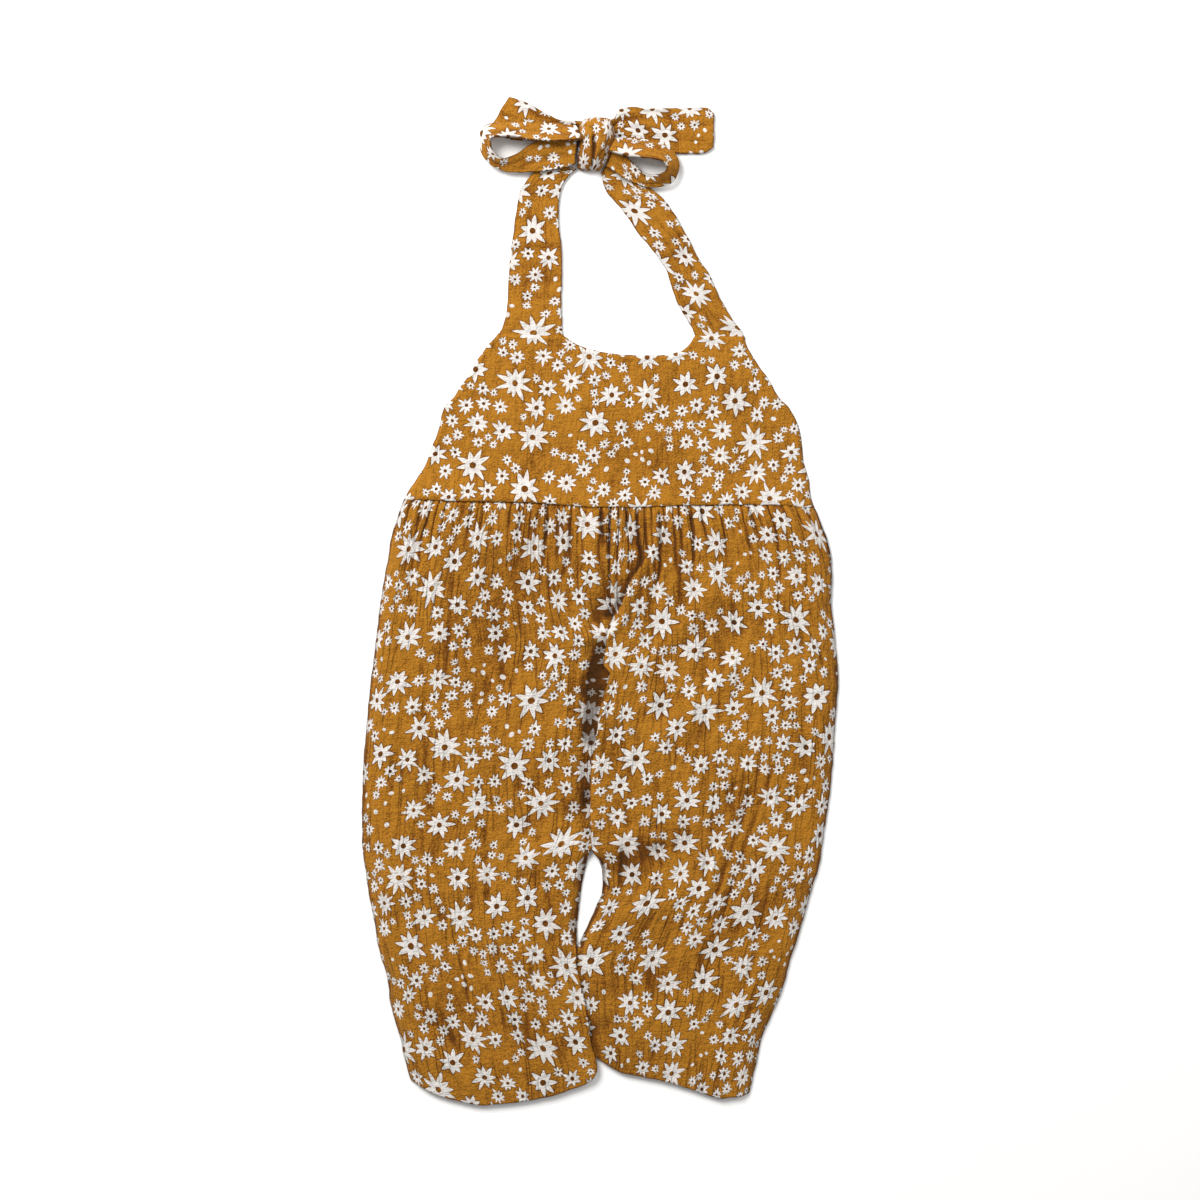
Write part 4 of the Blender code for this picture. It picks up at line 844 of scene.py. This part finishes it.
def muslin(name, colours, rib, streaks):
    """Double-gauze cotton muslin, piece-dyed ochre and screen printed in off-white. Its two thin layers
    pucker into uneven ribs along the cloth and small wrinkles across it, so it looks dull, soft and
    slightly uneven. Painted shade darkens the ground and the print in the lows of the puckers, in
    valleys and hollows and along the edges, and a painted highlight lightens the tops of folds. The
    real threads are 0.4 mm apart, too fine to show, so the weave is drawn about 1 mm apart."""
    material = bpy.data.materials.new(name)
    material.use_nodes = True
    tree = material.node_tree
    shader = tree.nodes["Principled BSDF"]
    node = partial(add, tree)
    cloth = node("UVMap", uv_map="cloth")

    # noise with lumps of this width and length in millimetres, and this much detail
    noises = []
    for width, length, detail in (
        (6.0, 80.0, 1.0), (16.0, 30.0, 1.0), (5.0, 1.9, 1.0),
        (5.0, 11.0, 2.0), (26.0, 34.0, 2.0), (1.1, 0.9, 0.0),
    ):
        place = node("VectorMath MULTIPLY", cloth, (1.0 / width, 1.0 / length, 1.0))
        noises.append(node("TexNoise", place, 1.0, detail, 0.5, noise_dimensions="2D"))
    streak, region, wrinkles, cushions, blotch, weave = noises

    dye, shade, print_white, print_shade = (linear(c) for c in colours)
    lines = node("Math ABSOLUTE", node("Math SUBTRACT", streak, 0.5))
    lines = node("MapRange", lines, 0.0, 0.06, 1.0, 0.0)
    shown = node("MapRange", region, 0.4, 0.62, 0.2 * streaks, streaks)
    lines = node("Math MULTIPLY", lines, shown)
    over, over_ink, over_rim = motif(tree, "motif_over")
    under, under_ink, under_rim = motif(tree, "motif_under")
    ink = node("Mix", over, under_ink, over_ink, data_type="FLOAT")
    rim = node("Math MAXIMUM", over_rim, under_rim)
    valley = node("Attribute", attribute_name="valley").node.outputs["Fac"]

    # painted shade in the lows of the bump's wrinkles, pits and grooves
    low = node("Math MAXIMUM", node("Math MULTIPLY_ADD", wrinkles, -2.2, 1.15), 0.0)
    pits = node("Math MAXIMUM", node("Math MULTIPLY_ADD", cushions, -2.8, 1.42), 0.0)
    dip = node("Math MULTIPLY_ADD", lines, 0.6, node("Math MULTIPLY", low, 0.35))
    dip = node("Math MULTIPLY_ADD", pits, 0.5, dip)
    # deep: how far the ground goes to its dark colour: painted shade from the valley attribute and the
    # bump's lows, tone that differs at random, the weave and the print's dark rim
    deep = node("Math MULTIPLY_ADD", valley, 0.95, dip)
    deep = node("Math MULTIPLY_ADD", blotch, -0.7, node("Math ADD", deep, -0.26))
    deep = node("Math MULTIPLY_ADD", weave, 1.2, deep)
    deep = node("Math MULTIPLY_ADD", rim, 0.65, deep)
    ground = node("Mix", node("Clamp", deep), dye, shade, data_type="RGBA")
    # painted shade on the print: the ink goes grey in the bump's lows and where the valley attribute is high
    thin = node("Math MULTIPLY_ADD", dip, 0.2, node("Math MULTIPLY", valley, 0.45))
    white = node("Mix", node("Clamp", thin), print_white, print_shade, data_type="RGBA")
    colour = node("Mix", ink, ground, white, data_type="RGBA")
    # painted shade: near black where little light reaches, at the bottom of the lap and of the deepest
    # gathers; bare ground goes darker still where the dark colour runs deepest, which darkens the flowers'
    # eyes
    bare = node("Math SUBTRACT", 1.0, ink)
    dark = node("Math MULTIPLY_ADD", valley, 0.9, -0.9)
    dark = node("Math MULTIPLY", dark, node("Math MULTIPLY_ADD", bare, 0.4, 0.6))
    eyes = node("Math MULTIPLY", node("Math MULTIPLY_ADD", deep, 0.5, -0.55), bare)
    dark = node("Math MAXIMUM", dark, eyes)
    black = node("Mix", node("Clamp", dark, 0.0, 0.85), colour, linear("#201000"), data_type="RGBA")
    tree.links.new(black, shader.inputs["Base Color"])

    relief = node("Math MULTIPLY_ADD", lines, -0.5, node("Math MULTIPLY", wrinkles, 0.5))
    relief = node("Math MULTIPLY_ADD", cushions, 1.7, relief)
    relief = node("Math MULTIPLY_ADD", weave, 0.3, relief)
    tree.links.new(node("Bump", rib, 0.0014, None, relief), shader.inputs["Normal"])
    shader.inputs["Roughness"].default_value = 0.86
    shader.inputs["IOR"].default_value = 1.45
    shader.inputs["Specular IOR Level"].default_value = 0.15
    shader.inputs["Sheen Weight"].default_value = 0.06
    shader.inputs["Sheen Roughness"].default_value = 0.5
    return material


def plaster(name, colour):
    """Matt painted board under the garment: one pale tone with a faint unevenness."""
    material = bpy.data.materials.new(name)
    material.use_nodes = True
    tree = material.node_tree
    shader = tree.nodes["Principled BSDF"]
    node = partial(add, tree)
    grain = node("TexNoise", node("TexCoord").node.outputs["Object"], 40.0, 2.0)
    low = tuple(0.985 * c for c in colour[:3]) + (1.0,)
    tree.links.new(node("Mix", grain, low, colour, data_type="RGBA"), shader.inputs["Base Color"])
    shader.inputs["Roughness"].default_value = 0.95
    shader.inputs["Specular IOR Level"].default_value = 0.1
    return material


# ---------------------------------------------------------------- settings


class RomperPrint(bpy.types.PropertyGroup):
    """The flower print and its dye."""

    seed: bpy.props.IntProperty(
        name="Layout", description="Number that the print's layout starts from", default=41)
    repeat: bpy.props.FloatProperty(
        name="Repeat", description="Side of the print's square repeat", default=0.3, unit="LENGTH")
    flowers: bpy.props.IntVectorProperty(
        name="Motifs", description="Most flowers of each size in a repeat, largest first, then dots",
        size=6, default=(38, 90, 112, 140, 215, 110))
    ochre: bpy.props.StringProperty(
        name="Dye", description="Ground colour of the muslin", default="#9D6819")
    # colour of the painted shade on the ground, also used for its darker tone
    ochre_shade_and_dark_tone: bpy.props.StringProperty(
        name="Dye, deep", description="Ground colour in its valleys", default="#633702")
    white: bpy.props.StringProperty(
        name="Ink", description="Colour of the printed flowers", default="#CAC5BF")
    # colour of the painted shade on the print
    white_painted_shade: bpy.props.StringProperty(
        name="Ink, thin", description="Colour of the print where it breaks over a rib", default="#8F8780")


class RomperCloth(bpy.types.PropertyGroup):
    """How the cloth lies."""

    leg_cloth: bpy.props.FloatProperty(
        name="Leg cloth", description="Thickness of the legs' muslin", default=0.0009, unit="LENGTH")
    bodice_cloth: bpy.props.FloatProperty(
        name="Bodice cloth", description="Thickness of the faced bodice", default=0.0013, unit="LENGTH")
    tie_cloth: bpy.props.FloatProperty(
        name="Tie cloth", description="Thickness of one layer of a neck tie", default=0.0007, unit="LENGTH")
    tie_thick: bpy.props.FloatProperty(
        name="Tie", description="Thickness of a pressed neck tie", default=0.0022, unit="LENGTH")
    crinkle: bpy.props.FloatProperty(
        name="Crinkle", description="Height of the gauze's puckers on the legs",
        default=0.00028, unit="LENGTH")
    swell: bpy.props.FloatProperty(
        name="Swell", description="Height of the slow rise and fall of the legs",
        default=0.0006, unit="LENGTH")
    bodice_crinkle: bpy.props.FloatProperty(
        name="Bodice crinkle", description="Height of the puckers on the bodice",
        default=0.00016, unit="LENGTH")
    gather: bpy.props.FloatProperty(
        name="Gathers", description="Depth of the valleys between gathers as a share of their height",
        default=1.1, subtype="FACTOR")


class RomperStage(bpy.types.PropertyGroup):
    """Floor, light and camera."""

    floor: bpy.props.StringProperty(name="Floor", description="Colour of the floor", default="#F4F3F1")
    width: bpy.props.FloatProperty(
        name="View width", description="Width of the floor that the camera sees",
        default=0.75, unit="LENGTH")
    height: bpy.props.FloatProperty(
        name="Camera height", description="Height of the camera over the floor", default=2.4, unit="LENGTH")
    key: bpy.props.FloatProperty(
        name="Key light", description="Power of the large soft light", default=51.0, unit="POWER")
    room: bpy.props.FloatProperty(
        name="Room light", description="Strength of the even light of the room", default=0.42)


def cloth_piece(node, slot, skins, material, motifs, repeat):
    """A finished piece: the cloth mesh in its material, riding on the root, with the solid of the same node
    hidden.
    """
    piece = sheet_mesh(node + "_cloth", skins, material, motifs, repeat)
    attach(piece, "root")
    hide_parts(node)
    return piece


def print_of(settings):
    return scatter(settings), settings.repeat * METRE


def colours_of(settings):
    return settings.ochre, settings.ochre_shade_and_dark_tone, settings.white, settings.white_painted_shade


# ---------------------------------------------------------------- pieces


class ROMPER_OT_bodice(bpy.types.Operator):
    """Faced bodice, with the base of each strap and the neckline between them"""

    bl_idname = "romper.bodice"
    bl_label = "Bodice"

    def execute(self, context):
        cloth, ink = context.scene.romper_cloth, context.scene.romper_print
        left, right = curve(SIDE_EDGES, 1), curve(SIDE_EDGES, 2)
        seam, rise = curve(WAIST_SEAM, 1), curve(BODICE_RISE, 1)
        across, down = grid_of(240, 92, BODICE_GRID)
        x, y, top, bottom = settle(
            across, down, 100.0, (left, right), curve(TOP_EDGE, 1), lambda x, y: seam(x) + SEAM / 2.0)
        side = np.minimum(x - left(y), right(y) - x)
        free = np.minimum(side, top - y)
        near = np.minimum(free, y - bottom)
        folds = fold_height(CREASES, "bodice", x, y) * ease(free / 12.0)
        puff = 0.5 * ease(free / 30.0) + folds
        outside = rolled(side, rise(y - bottom)) + mix(1.0, BODICE_CLOTH, ease(free / 2.0)) + puff
        ripple = crinkle(x, y, 3) * ease(free / 8.0)
        # a low ridge where the facing is turned in along the edges
        turned = 0.35 * hump(near - 2.2, 1.6) * ease(near)
        wave = (ripple * cloth.bodice_crinkle * METRE + turned) * ease(near / 1.5)
        lip = np.minimum(rounding(free, 0.9), rounding(y - bottom, 0.5))
        outer, inner = shell(outside, cloth.bodice_cloth * METRE, lip, wave, 0.0)
        # painted shade in the crinkle's lows, in the hollows, in the troughs of the folds and along the edge
        valley = 0.15 * np.clip(-ripple - 0.35, 0.0, 1.0) + 0.6 * hollow(outer, 5, 5, 1.7)
        valley = dark_edge(valley + 0.8 * np.clip(-folds, 0.0, 1.0), free)
        flat = np.stack([x, y], axis=2)
        piece = cloth_piece(
            "bodice_front", "muslin_bodice", [upright(x, y, outer, inner, flat, valley)],
            muslin("double_gauze_faced", colours_of(ink), 0.8, 0.45), *print_of(ink))
        return {"FINISHED"}


def leg_front(panel, seed, start, cloth):
    """Skin of a leg's front, with its folds, the gathers under the seam and the lap of the two fronts."""
    leg = Leg(panel)
    across, down = grid_of(150, 232, LEG_GRID)
    x, y, top, bottom = leg.lay(across, down)
    below = np.maximum(top - y, 0.0)
    low = leg.underside(x, y, np.maximum(top, y), bottom)
    height, between = gathers(across, below, WAIST_HALF, seed)
    keep = 1.0 - ease(leg.turned(y))
    creases = fold_height(CREASES, panel, x, y)
    extra = leg.folds(x, y) + height * keep * (1.0 - cloth.gather * between)
    extra = np.clip(extra, THINNEST, THICKEST) + creases
    from_outer, from_inner = np.abs(x - leg.outer(y)), np.abs(x - leg.inner(y))
    near = np.minimum(np.minimum(from_outer, from_inner), y - bottom)
    # above the seam the cloth is tucked under the bodice
    under = np.clip((y - top) / TUCK, 0.0, 1.0)
    sink = 0.8 * ease((y - top + 1.2) / 1.8)
    # down to the fork the right front's edge lies on the left one's, which dips under it
    lapped = leg.hold(y) * (1.0 - under)
    if panel == "right":
        placed = x + (curve(FORK, 1)(y) - 0.8 * lapped) * (1.0 - ease(from_inner / 20.0))
        fold, hole = lap_fold(placed, y)
        dip = 0.3
    else:
        placed = x + curve(FORK, 2)(y) * (1.0 - ease(from_inner / mix(9.0, 20.0, leg.hold(y))))
        fold, hole, dip = 0.0, 0.0, -1.1
    outside = low + LEG_CLOTH + (extra + fold) - sink

    # the cloth lies smoother towards the hems
    smoother = mix(1.0, 0.55, ease((-y - 130.0) / 120.0))
    ripple = crinkle(across * 150.0, y, seed + 4) * smoother
    wave = ripple * cloth.crinkle * METRE * ease(near / 3.0) * (1.0 - under)
    wave = wave + cloth.swell * METRE * swell(x, y, seed + 9) * ease(near / 25.0) * ease(below / 20.0)
    wave = wave - 0.35 * between * keep * np.exp(-below / 30.0)
    wave = wave + dip * lapped * (1.0 - ease(from_inner / 3.5))
    lip = rounding(np.minimum(near, top + TUCK - y), 0.8)
    outer, inner = shell(outside, cloth.leg_cloth * METRE, lip, wave, 0.5 * wave)

    # painted shade in the valleys of the gathers, the crinkle's lows, the hollows, the SHADES rows, the
    # troughs of the creases and the lap's hollow, along the edges and where the cloth runs under the bodice
    valley = 1.15 * between * keep * np.exp(-below / 75.0) + 0.3 * np.clip(-ripple - 0.3, 0.0, 1.0)
    valley = valley + 1.1 * hollow(outer, 5, 8, 1.7) + 0.7 * hollow(outer, 1, 2, 0.5)
    valley = valley + fold_height(SHADES, panel, x, y) + 0.8 * np.clip(-creases, 0.0, 1.0)
    # the tops of the folds catch more light than the flat cloth
    valley = valley - 0.3 * np.clip(creases, 0.0, 1.2)
    valley = np.maximum(valley + hole, 1.7 * (1.0 - ease(near / EDGE_DARK)) - 0.4)
    valley = np.clip(np.maximum(valley, 0.6 * under), -0.4, 1.8)

    # at the side the cloth rolls away, so more of the print shows in the same width
    rolled_away = 7.0 * (1.0 - np.clip(from_outer / 15.0, 0.0, 1.0)) ** 2
    cut_x = (across - 0.5) * PRINT_DRAW[0] * curve(CUT_WIDTH, 1)(below) - rolled_away
    flat = np.stack([cut_x * leg.turn + start[0], y * PRINT_DRAW[1] + start[1]], axis=2)
    return upright(placed, y, outer, inner, flat, valley)


class ROMPER_OT_legs(bpy.types.Operator):
    """Fronts of the two legs, gathered under the waist seam, the right one lapping over the left"""

    bl_idname = "romper.legs"
    bl_label = "Leg fronts"

    def execute(self, context):
        cloth, ink = context.scene.romper_cloth, context.scene.romper_print
        motifs, repeat = print_of(ink)
        material = muslin("double_gauze_legs", colours_of(ink), 0.9, 1.0)
        for panel, seed, start in (("left", 11, (40.0, 18.0)), ("right", 23, (171.0, 96.0))):
            skins = [leg_front(panel, seed, start, cloth)]
            piece = cloth_piece(f"leg_front_{panel}", "muslin_leg", skins, material, motifs, repeat)
        return {"FINISHED"}


class ROMPER_OT_back(bpy.types.Operator):
    """Plain back: two legs and the elastic casing across the waist, flat on the surface"""

    bl_idname = "romper.back"
    bl_label = "Back"

    def execute(self, context):
        ink = context.scene.romper_print
        motifs, repeat = print_of(ink)
        material = muslin("double_gauze_back", colours_of(ink), 0.8, 1.0)
        middle = 0.6           # height of the middle of the cloth over the surface
        start = WAIST_SEAM[0][1] - CASING_HEIGHT - SEAM
        for panel, column, seed in (("left", 1, 31), ("right", 2, 37)):
            leg = Leg(panel)
            sides = (lambda y: leg.outer(y) + leg.turn * BACK_INSET), curve(BACK_INNER, column)
            across, down = grid_of(84, 150, BACK_GRID)
            x, y, _, _ = settle(
                across, down, 0.0, sides, lambda x: start, lambda x, y: leg.bottom(x, y) + HEM_INSET)
            lip = rounding(rim_distance(across, down, BACK_GRID), 0.5)
            below = start - y
            pull = np.abs(np.sin(across * math.pi * 22.0 + 1.3 * np.sin(below / 14.0)))
            troughs = (1.0 - pull) ** 3 * np.exp(-below / 38.0)
            ripple = crinkle(across * BACK_GRID[0], y, seed)
            humps = np.clip(ripple, 0.0, 1.0)
            outer = middle + lip * (0.5 + 0.1 * ripple - 0.25 * troughs)
            inner = middle - lip * np.clip(0.6 - 0.3 * troughs - 0.12 * humps, 0.2, 0.6)
            flat = np.stack([(across - 0.5) * 150.0 + 90.0 * column, y], axis=2)
            # painted shade in the troughs that the elastic pulls; the crinkle's humps are darker too
            skins = [upright(x, y, outer, inner, flat, np.clip(troughs + 0.4 * humps, 0.0, 1.0))]
            piece = cloth_piece(f"leg_back_{panel}", "muslin_back", skins, material, motifs, repeat)

        casing = (BODICE_GRID[0], CASING_HEIGHT)
        gap = 0.3              # between the casing and the seam above it
        top = WAIST_SEAM[0][1] - gap
        across, down = grid_of(170, 18, casing)
        y = mix(top, top - CASING_HEIGHT + gap, down)
        x = mix(curve(SIDE_EDGES, 1)(y) + BACK_INSET, curve(SIDE_EDGES, 2)(y) - BACK_INSET, across)
        near = rim_distance(across, down, casing)
        pull = (1.0 - np.abs(np.sin(across * math.pi * 44.0 + 0.6 * np.sin(down * 9.0)))) ** 2
        rows = ease(np.minimum(near, 7.0) / 7.0)
        lip = rounding(near, 0.5)
        outer = middle + lip * (0.5 - 0.25 * pull * rows)
        inner = middle - lip * (0.6 - 0.35 * pull * rows)
        flat = np.stack([x * 1.35, y], axis=2)
        # painted shade in the troughs that the elastic pulls
        skins = [upright(x, y, outer, inner, flat, pull * 0.6)]
        piece = cloth_piece("back_waist", "muslin_back", skins, material, motifs, repeat)
        return {"FINISHED"}


def tie_skins(node, table, thick, wall, crinkles, start, seed, pleated):
    """Outer and inner skin of a tie: a tube of cloth pressed flat, bunched where the table narrows it."""
    indexed = [(i,) + tuple(row) for i, row in enumerate(table)]
    steps = np.linspace(0.0, len(table) - 1.0, (len(table) - 1) * 9 + 1)
    ways = np.stack([curve(indexed, c)(steps) for c in range(1, 7)], axis=1)
    a, b = ways[:, :3], ways[:, 3:]
    middle = (a + b) / 2.0
    forward = np.gradient(middle, axis=0)
    width = np.linalg.norm(b - a, axis=1)
    side = (b - a) / width[:, None]
    normal = np.cross(side, forward)
    normal /= np.linalg.norm(normal, axis=1)[:, None]
    normal *= np.where(normal[:, 2:] < 0.0, -1.0, 1.0)
    run = np.concatenate([[0.0], np.cumsum(np.linalg.norm(np.diff(middle, axis=0), axis=1))])
    # more rows at the two ends, where the tube's mouth rounds off, and more columns at its sides
    length = run[-1]
    mouth = np.array([0.0, 0.25, 0.6, 1.1])
    body = np.linspace(1.8, length - 1.8, max(int(length / 1.1), 8))
    along = np.concatenate([mouth, body, length - mouth[::-1]])
    rim = np.array([1.0, 0.985, 0.96, 0.925])
    s = np.concatenate([-rim, np.linspace(-0.88, 0.88, 27), rim[::-1]])[None, :]

    def at(values):
        return np.stack([np.interp(along, run, values[:, i]) for i in range(3)], axis=1)[:, None]

    middle, side, normal = at(middle), at(side), at(normal)
    width = np.interp(along, run, width)[:, None]
    across = s * width / 2.0
    v = np.broadcast_to(along[:, None], across.shape)
    edge = width / 2.0 - np.abs(across)
    near = np.minimum(edge, np.minimum(v, length - v))
    bunch = np.clip(1.0 - width / TIE_WIDTH, 0.0, 0.7)
    turns = 0.8 * s + 0.2 * np.sin(v / 9.0 + seed) + 0.37 * seed
    pleats = pleated * (1.0 - np.abs(np.sin(math.pi * turns))) ** 1.7
    ripple = crinkle(s * 15.0 + 40.0 * seed, v, seed)
    spot = middle + side * across[..., None]
    creases = fold_height(CREASES, node, spot[..., 0], spot[..., 1])
    relief = crinkles * ripple * ease(near / 2.5) - 2.0 * bunch * pleats * ease(edge / 2.0)
    relief = relief + creases * ease(near / 3.0) - 0.2 * hump(edge - 1.6, 0.7)
    # a strap runs down into the bodice without a step
    base = 0.95 * (1.0 - ease(v / 15.0)) if node.startswith("strap") else 0.0 * v
    lip = rounding(near, 1.1)
    # painted shade in the troughs of the pleats, the crinkle's lows and the troughs of the creases, and
    # along the edges
    valley = 1.5 * bunch * pleats + 0.3 * np.clip(-ripple - 0.3, 0.0, 1.0)
    valley = dark_edge(valley + 0.9 * np.clip(-creases, 0.0, 1.0), near)
    u = across * np.minimum(TIE_WIDTH / width, 1.15)
    front = np.stack([u + start[0], v + start[1]], axis=2)
    back = np.stack([start[0] + TIE_WIDTH - u, v + start[1]], axis=2)
    skins = []
    for inset, strength in ((0.0, 1.0), (wall, 0.6)):
        half = max(thick / 2.0 - inset, 0.15) * lip
        narrow = 1.0 - inset / (width / 2.0)
        spot = middle + side * (across * narrow)[..., None]
        up = np.maximum(half + relief * lip * strength - base, 0.08 * lip)
        outer, inner = spot + normal * up[..., None], spot - normal * half[..., None]
        for skin in (outer, inner):
            skin[..., 2] = np.maximum(skin[..., 2], 0.03 + inset)
        skins.append((outer, inner, front, back, valley))
    return skins, length


class ROMPER_OT_ties(bpy.types.Operator):
    """Neck ties: the two straps, the bow's loops and its free ends"""

    bl_idname = "romper.ties"
    bl_label = "Neck ties"

    def execute(self, context):
        cloth, ink = context.scene.romper_cloth, context.scene.romper_print
        motifs, repeat = print_of(ink)
        material = muslin("double_gauze_ties", colours_of(ink), 0.6, 0.75)
        thick, wall = cloth.tie_thick * METRE, cloth.tie_cloth * METRE
        stretches = (
            # node, table, crinkle, start of its print, seed, pleats,
            # width of the cut that shows, slant of its end, how it is held
            ("strap_left", STRAP_LEFT, 0.13, (-42.5, 164.7), 1, 1.0, 57.0, 0.0, "laid"),
            ("strap_right", STRAP_RIGHT, 0.13, (74.5, 164.2), 2, 1.0, 57.0, 0.0, "laid"),
            ("bow_tail_left", TAIL_LEFT, 0.14, (150.0, 200.0), 3, 1.0, 57.0, 14.0, "gathered"),
            ("bow_tail_right", TAIL_RIGHT, 0.14, (222.0, 120.0), 4, 1.0, 57.0, 0.0, "laid"),
            ("bow_loop_left", LOOP_LEFT, 0.14, (30.0, 150.0), 5, 0.35, 28.5, 0.0, "folded"),
            ("bow_loop_right", LOOP_RIGHT, 0.14, (190.0, 30.0), 6, 0.35, 28.5, 0.0, "folded"),
        )
        for node, table, crinkles, start, seed, pleated, shown, slant, held in stretches:
            skins, length = tie_skins(node, table, thick, wall, crinkles, start, seed, pleated)
            piece = cloth_piece(node, "muslin_tie", skins, material, motifs, repeat)
        return {"FINISHED"}


class ROMPER_OT_knot(bpy.types.Operator):
    """The ties' turn round the middle of the bow"""

    bl_idname = "romper.knot"
    bl_label = "Knot"

    def execute(self, context):
        left, right, high = (curve(KNOT_RINGS, column) for column in (1, 2, 3))
        turn, down = grid_of(60, 52, KNOT_GRID, (0.2, 0.5, 1.0))
        y = mix(KNOT_RINGS[0][0], KNOT_RINGS[-1][0], down)
        angle = math.pi * (1.0 - turn)
        middle, half = (left(y) + right(y)) / 2.0, (right(y) - left(y)) / 2.0
        x = middle + half * np.cos(angle)
        # its sides start 1 mm up, and it is a little fuller than a half round
        z = 1.0 + 0.97 * (high(y) - 1.0) * np.sin(angle) ** 0.7
        across = (x - left(y)) / (right(y) - left(y))
        crease = np.zeros_like(x)
        for high_end, low_end, first, last, wide, deep in KNOT_CREASES:
            line = mix(high_end, low_end, (down - first) / (last - first))
            reach = ease((down - first) / 0.12 + 0.5) * ease((last - down) / 0.12 + 0.5)
            crease = np.maximum(crease, reach * deep * hump(across - line, wide))
        # the last turn stands below the cloth that runs over it to the upper right
        turned = ease((0.5 - across) / 0.06 + 0.5) * ease((down - 0.36 - 0.1 * across) / 0.08 + 0.5)
        soft = 0.45 * np.sin(7.0 * across + 5.0 * down) * ease(np.sin(angle)) - 1.2 * turned
        near = rim_distance(turn, down, KNOT_GRID)
        lip = ease(near / 2.5)
        ripple = crinkle(turn * 44.0, y, 71)
        outer = np.maximum(z + (soft - crease + 0.1 * ripple) * lip - 0.4, 0.45)
        # its two ends turn down half of the way
        for rim in (outer[0], outer[-1]):
            rim[:] = mix(rim, 0.6, 0.5)
        flat = np.stack([(turn - 0.5) * 52.0 + 250.0, y], axis=2)
        # painted shade in the creases, on the turn that lies under the cloth above it, and along the edges
        valley = np.clip(crease * lip + 0.35 * turned + 0.5 * (1.0 - ease(near / 2.0)), 0.0, 1.6)
        skins = [upright(x, y, outer, np.full_like(x, 0.25), flat, valley)]
        material = bpy.data.materials["double_gauze_ties"]
        piece = cloth_piece("bow_knot", "muslin_tie", skins, material, *print_of(context.scene.romper_print))
        return {"FINISHED"}


class ROMPER_OT_stage(bpy.types.Operator):
    """Pale floor, soft light and the camera straight above"""

    bl_idname = "romper.stage"
    bl_label = "Stage"

    def execute(self, context):
        stage = context.scene.romper_stage
        side = 6.0             # half of the floor's width, in metres like all lengths of the stage
        mesh = bpy.data.meshes.new("floor")
        corners = [(-side, -side, 0.0), (side, -side, 0.0), (side, side, 0.0), (-side, side, 0.0)]
        mesh.from_pydata(corners, [], [(0, 1, 2, 3)])
        mesh.materials.append(plaster("matt_board", linear(stage.floor)))
        floor = bpy.data.objects.new("floor", mesh)
        # just below the cloth, so that the two don't lie in one plane
        floor.location.z = -0.0002
        context.scene.collection.objects.link(floor)

        camera = bpy.data.cameras.new("camera")
        camera.sensor_width = 36.0
        camera.lens = 36.0 * stage.height / stage.width
        camera.clip_end = 50.0
        holder = bpy.data.objects.new("camera", camera)
        half_pixel = 0.00031   # the tables count from the middle of a pixel of the photo
        holder.location = (MIDDLE[0] * MM + half_pixel, MIDDLE[1] * MM - half_pixel, stage.height)
        context.scene.collection.objects.link(holder)
        context.scene.camera = holder

        # the key light comes from the upper left, and a weak fill light from the upper right
        for name, place, size, power in (
            ("key", (-0.9, 1.1, 1.25), 1.0, stage.key),
            ("fill", (1.1, 0.7, 1.3), 1.4, stage.key * 0.2),
        ):
            light = bpy.data.lights.new(name, "AREA")
            light.size, light.energy = size, power
            lamp = bpy.data.objects.new(name, light)
            lamp.location = place
            lamp.rotation_mode = "QUATERNION"
            lamp.rotation_quaternion = (Vector((0.0, 0.0, 0.0)) - lamp.location).to_track_quat("-Z", "Y")
            context.scene.collection.objects.link(lamp)
        world = bpy.data.worlds.new("room")
        world.use_nodes = True
        background = world.node_tree.nodes["Background"]
        background.inputs["Color"].default_value = (1.0, 1.0, 1.0, 1.0)
        background.inputs["Strength"].default_value = stage.room
        context.scene.world = world
        context.scene.view_settings.view_transform = "Standard"
        return {"FINISHED"}


class ROMPER_PT_panel(bpy.types.Panel):
    bl_idname = "ROMPER_PT_panel"
    bl_label = "Halter romper"
    bl_space_type = "VIEW_3D"
    bl_region_type = "UI"
    bl_category = "Romper"

    def draw(self, context):
        layout = self.layout
        for operator in OPERATORS:
            layout.operator(operator.bl_idname)
        for group in (context.scene.romper_cloth, context.scene.romper_print, context.scene.romper_stage):
            box = layout.box()
            for name in group.__annotations__:
                box.prop(group, name)


SETTINGS = {"romper_cloth": RomperCloth, "romper_print": RomperPrint, "romper_stage": RomperStage}
OPERATORS = (
    ROMPER_OT_stage, ROMPER_OT_bodice, ROMPER_OT_legs, ROMPER_OT_back, ROMPER_OT_ties, ROMPER_OT_knot,
)


def register():
    for cls in (*SETTINGS.values(), *OPERATORS, ROMPER_PT_panel):
        bpy.utils.register_class(cls)
    for name, cls in SETTINGS.items():
        setattr(bpy.types.Scene, name, bpy.props.PointerProperty(type=cls))


def unregister():
    for name in SETTINGS:
        delattr(bpy.types.Scene, name)
    for cls in (ROMPER_PT_panel, *OPERATORS, *SETTINGS.values()):
        bpy.utils.unregister_class(cls)


def main():
    register()
    bpy.ops.romper.stage()
    bpy.ops.romper.bodice()
    bpy.ops.romper.legs()
    bpy.ops.romper.back()
    bpy.ops.romper.ties()
    bpy.ops.romper.knot()


if __name__ == "__main__":
    main()
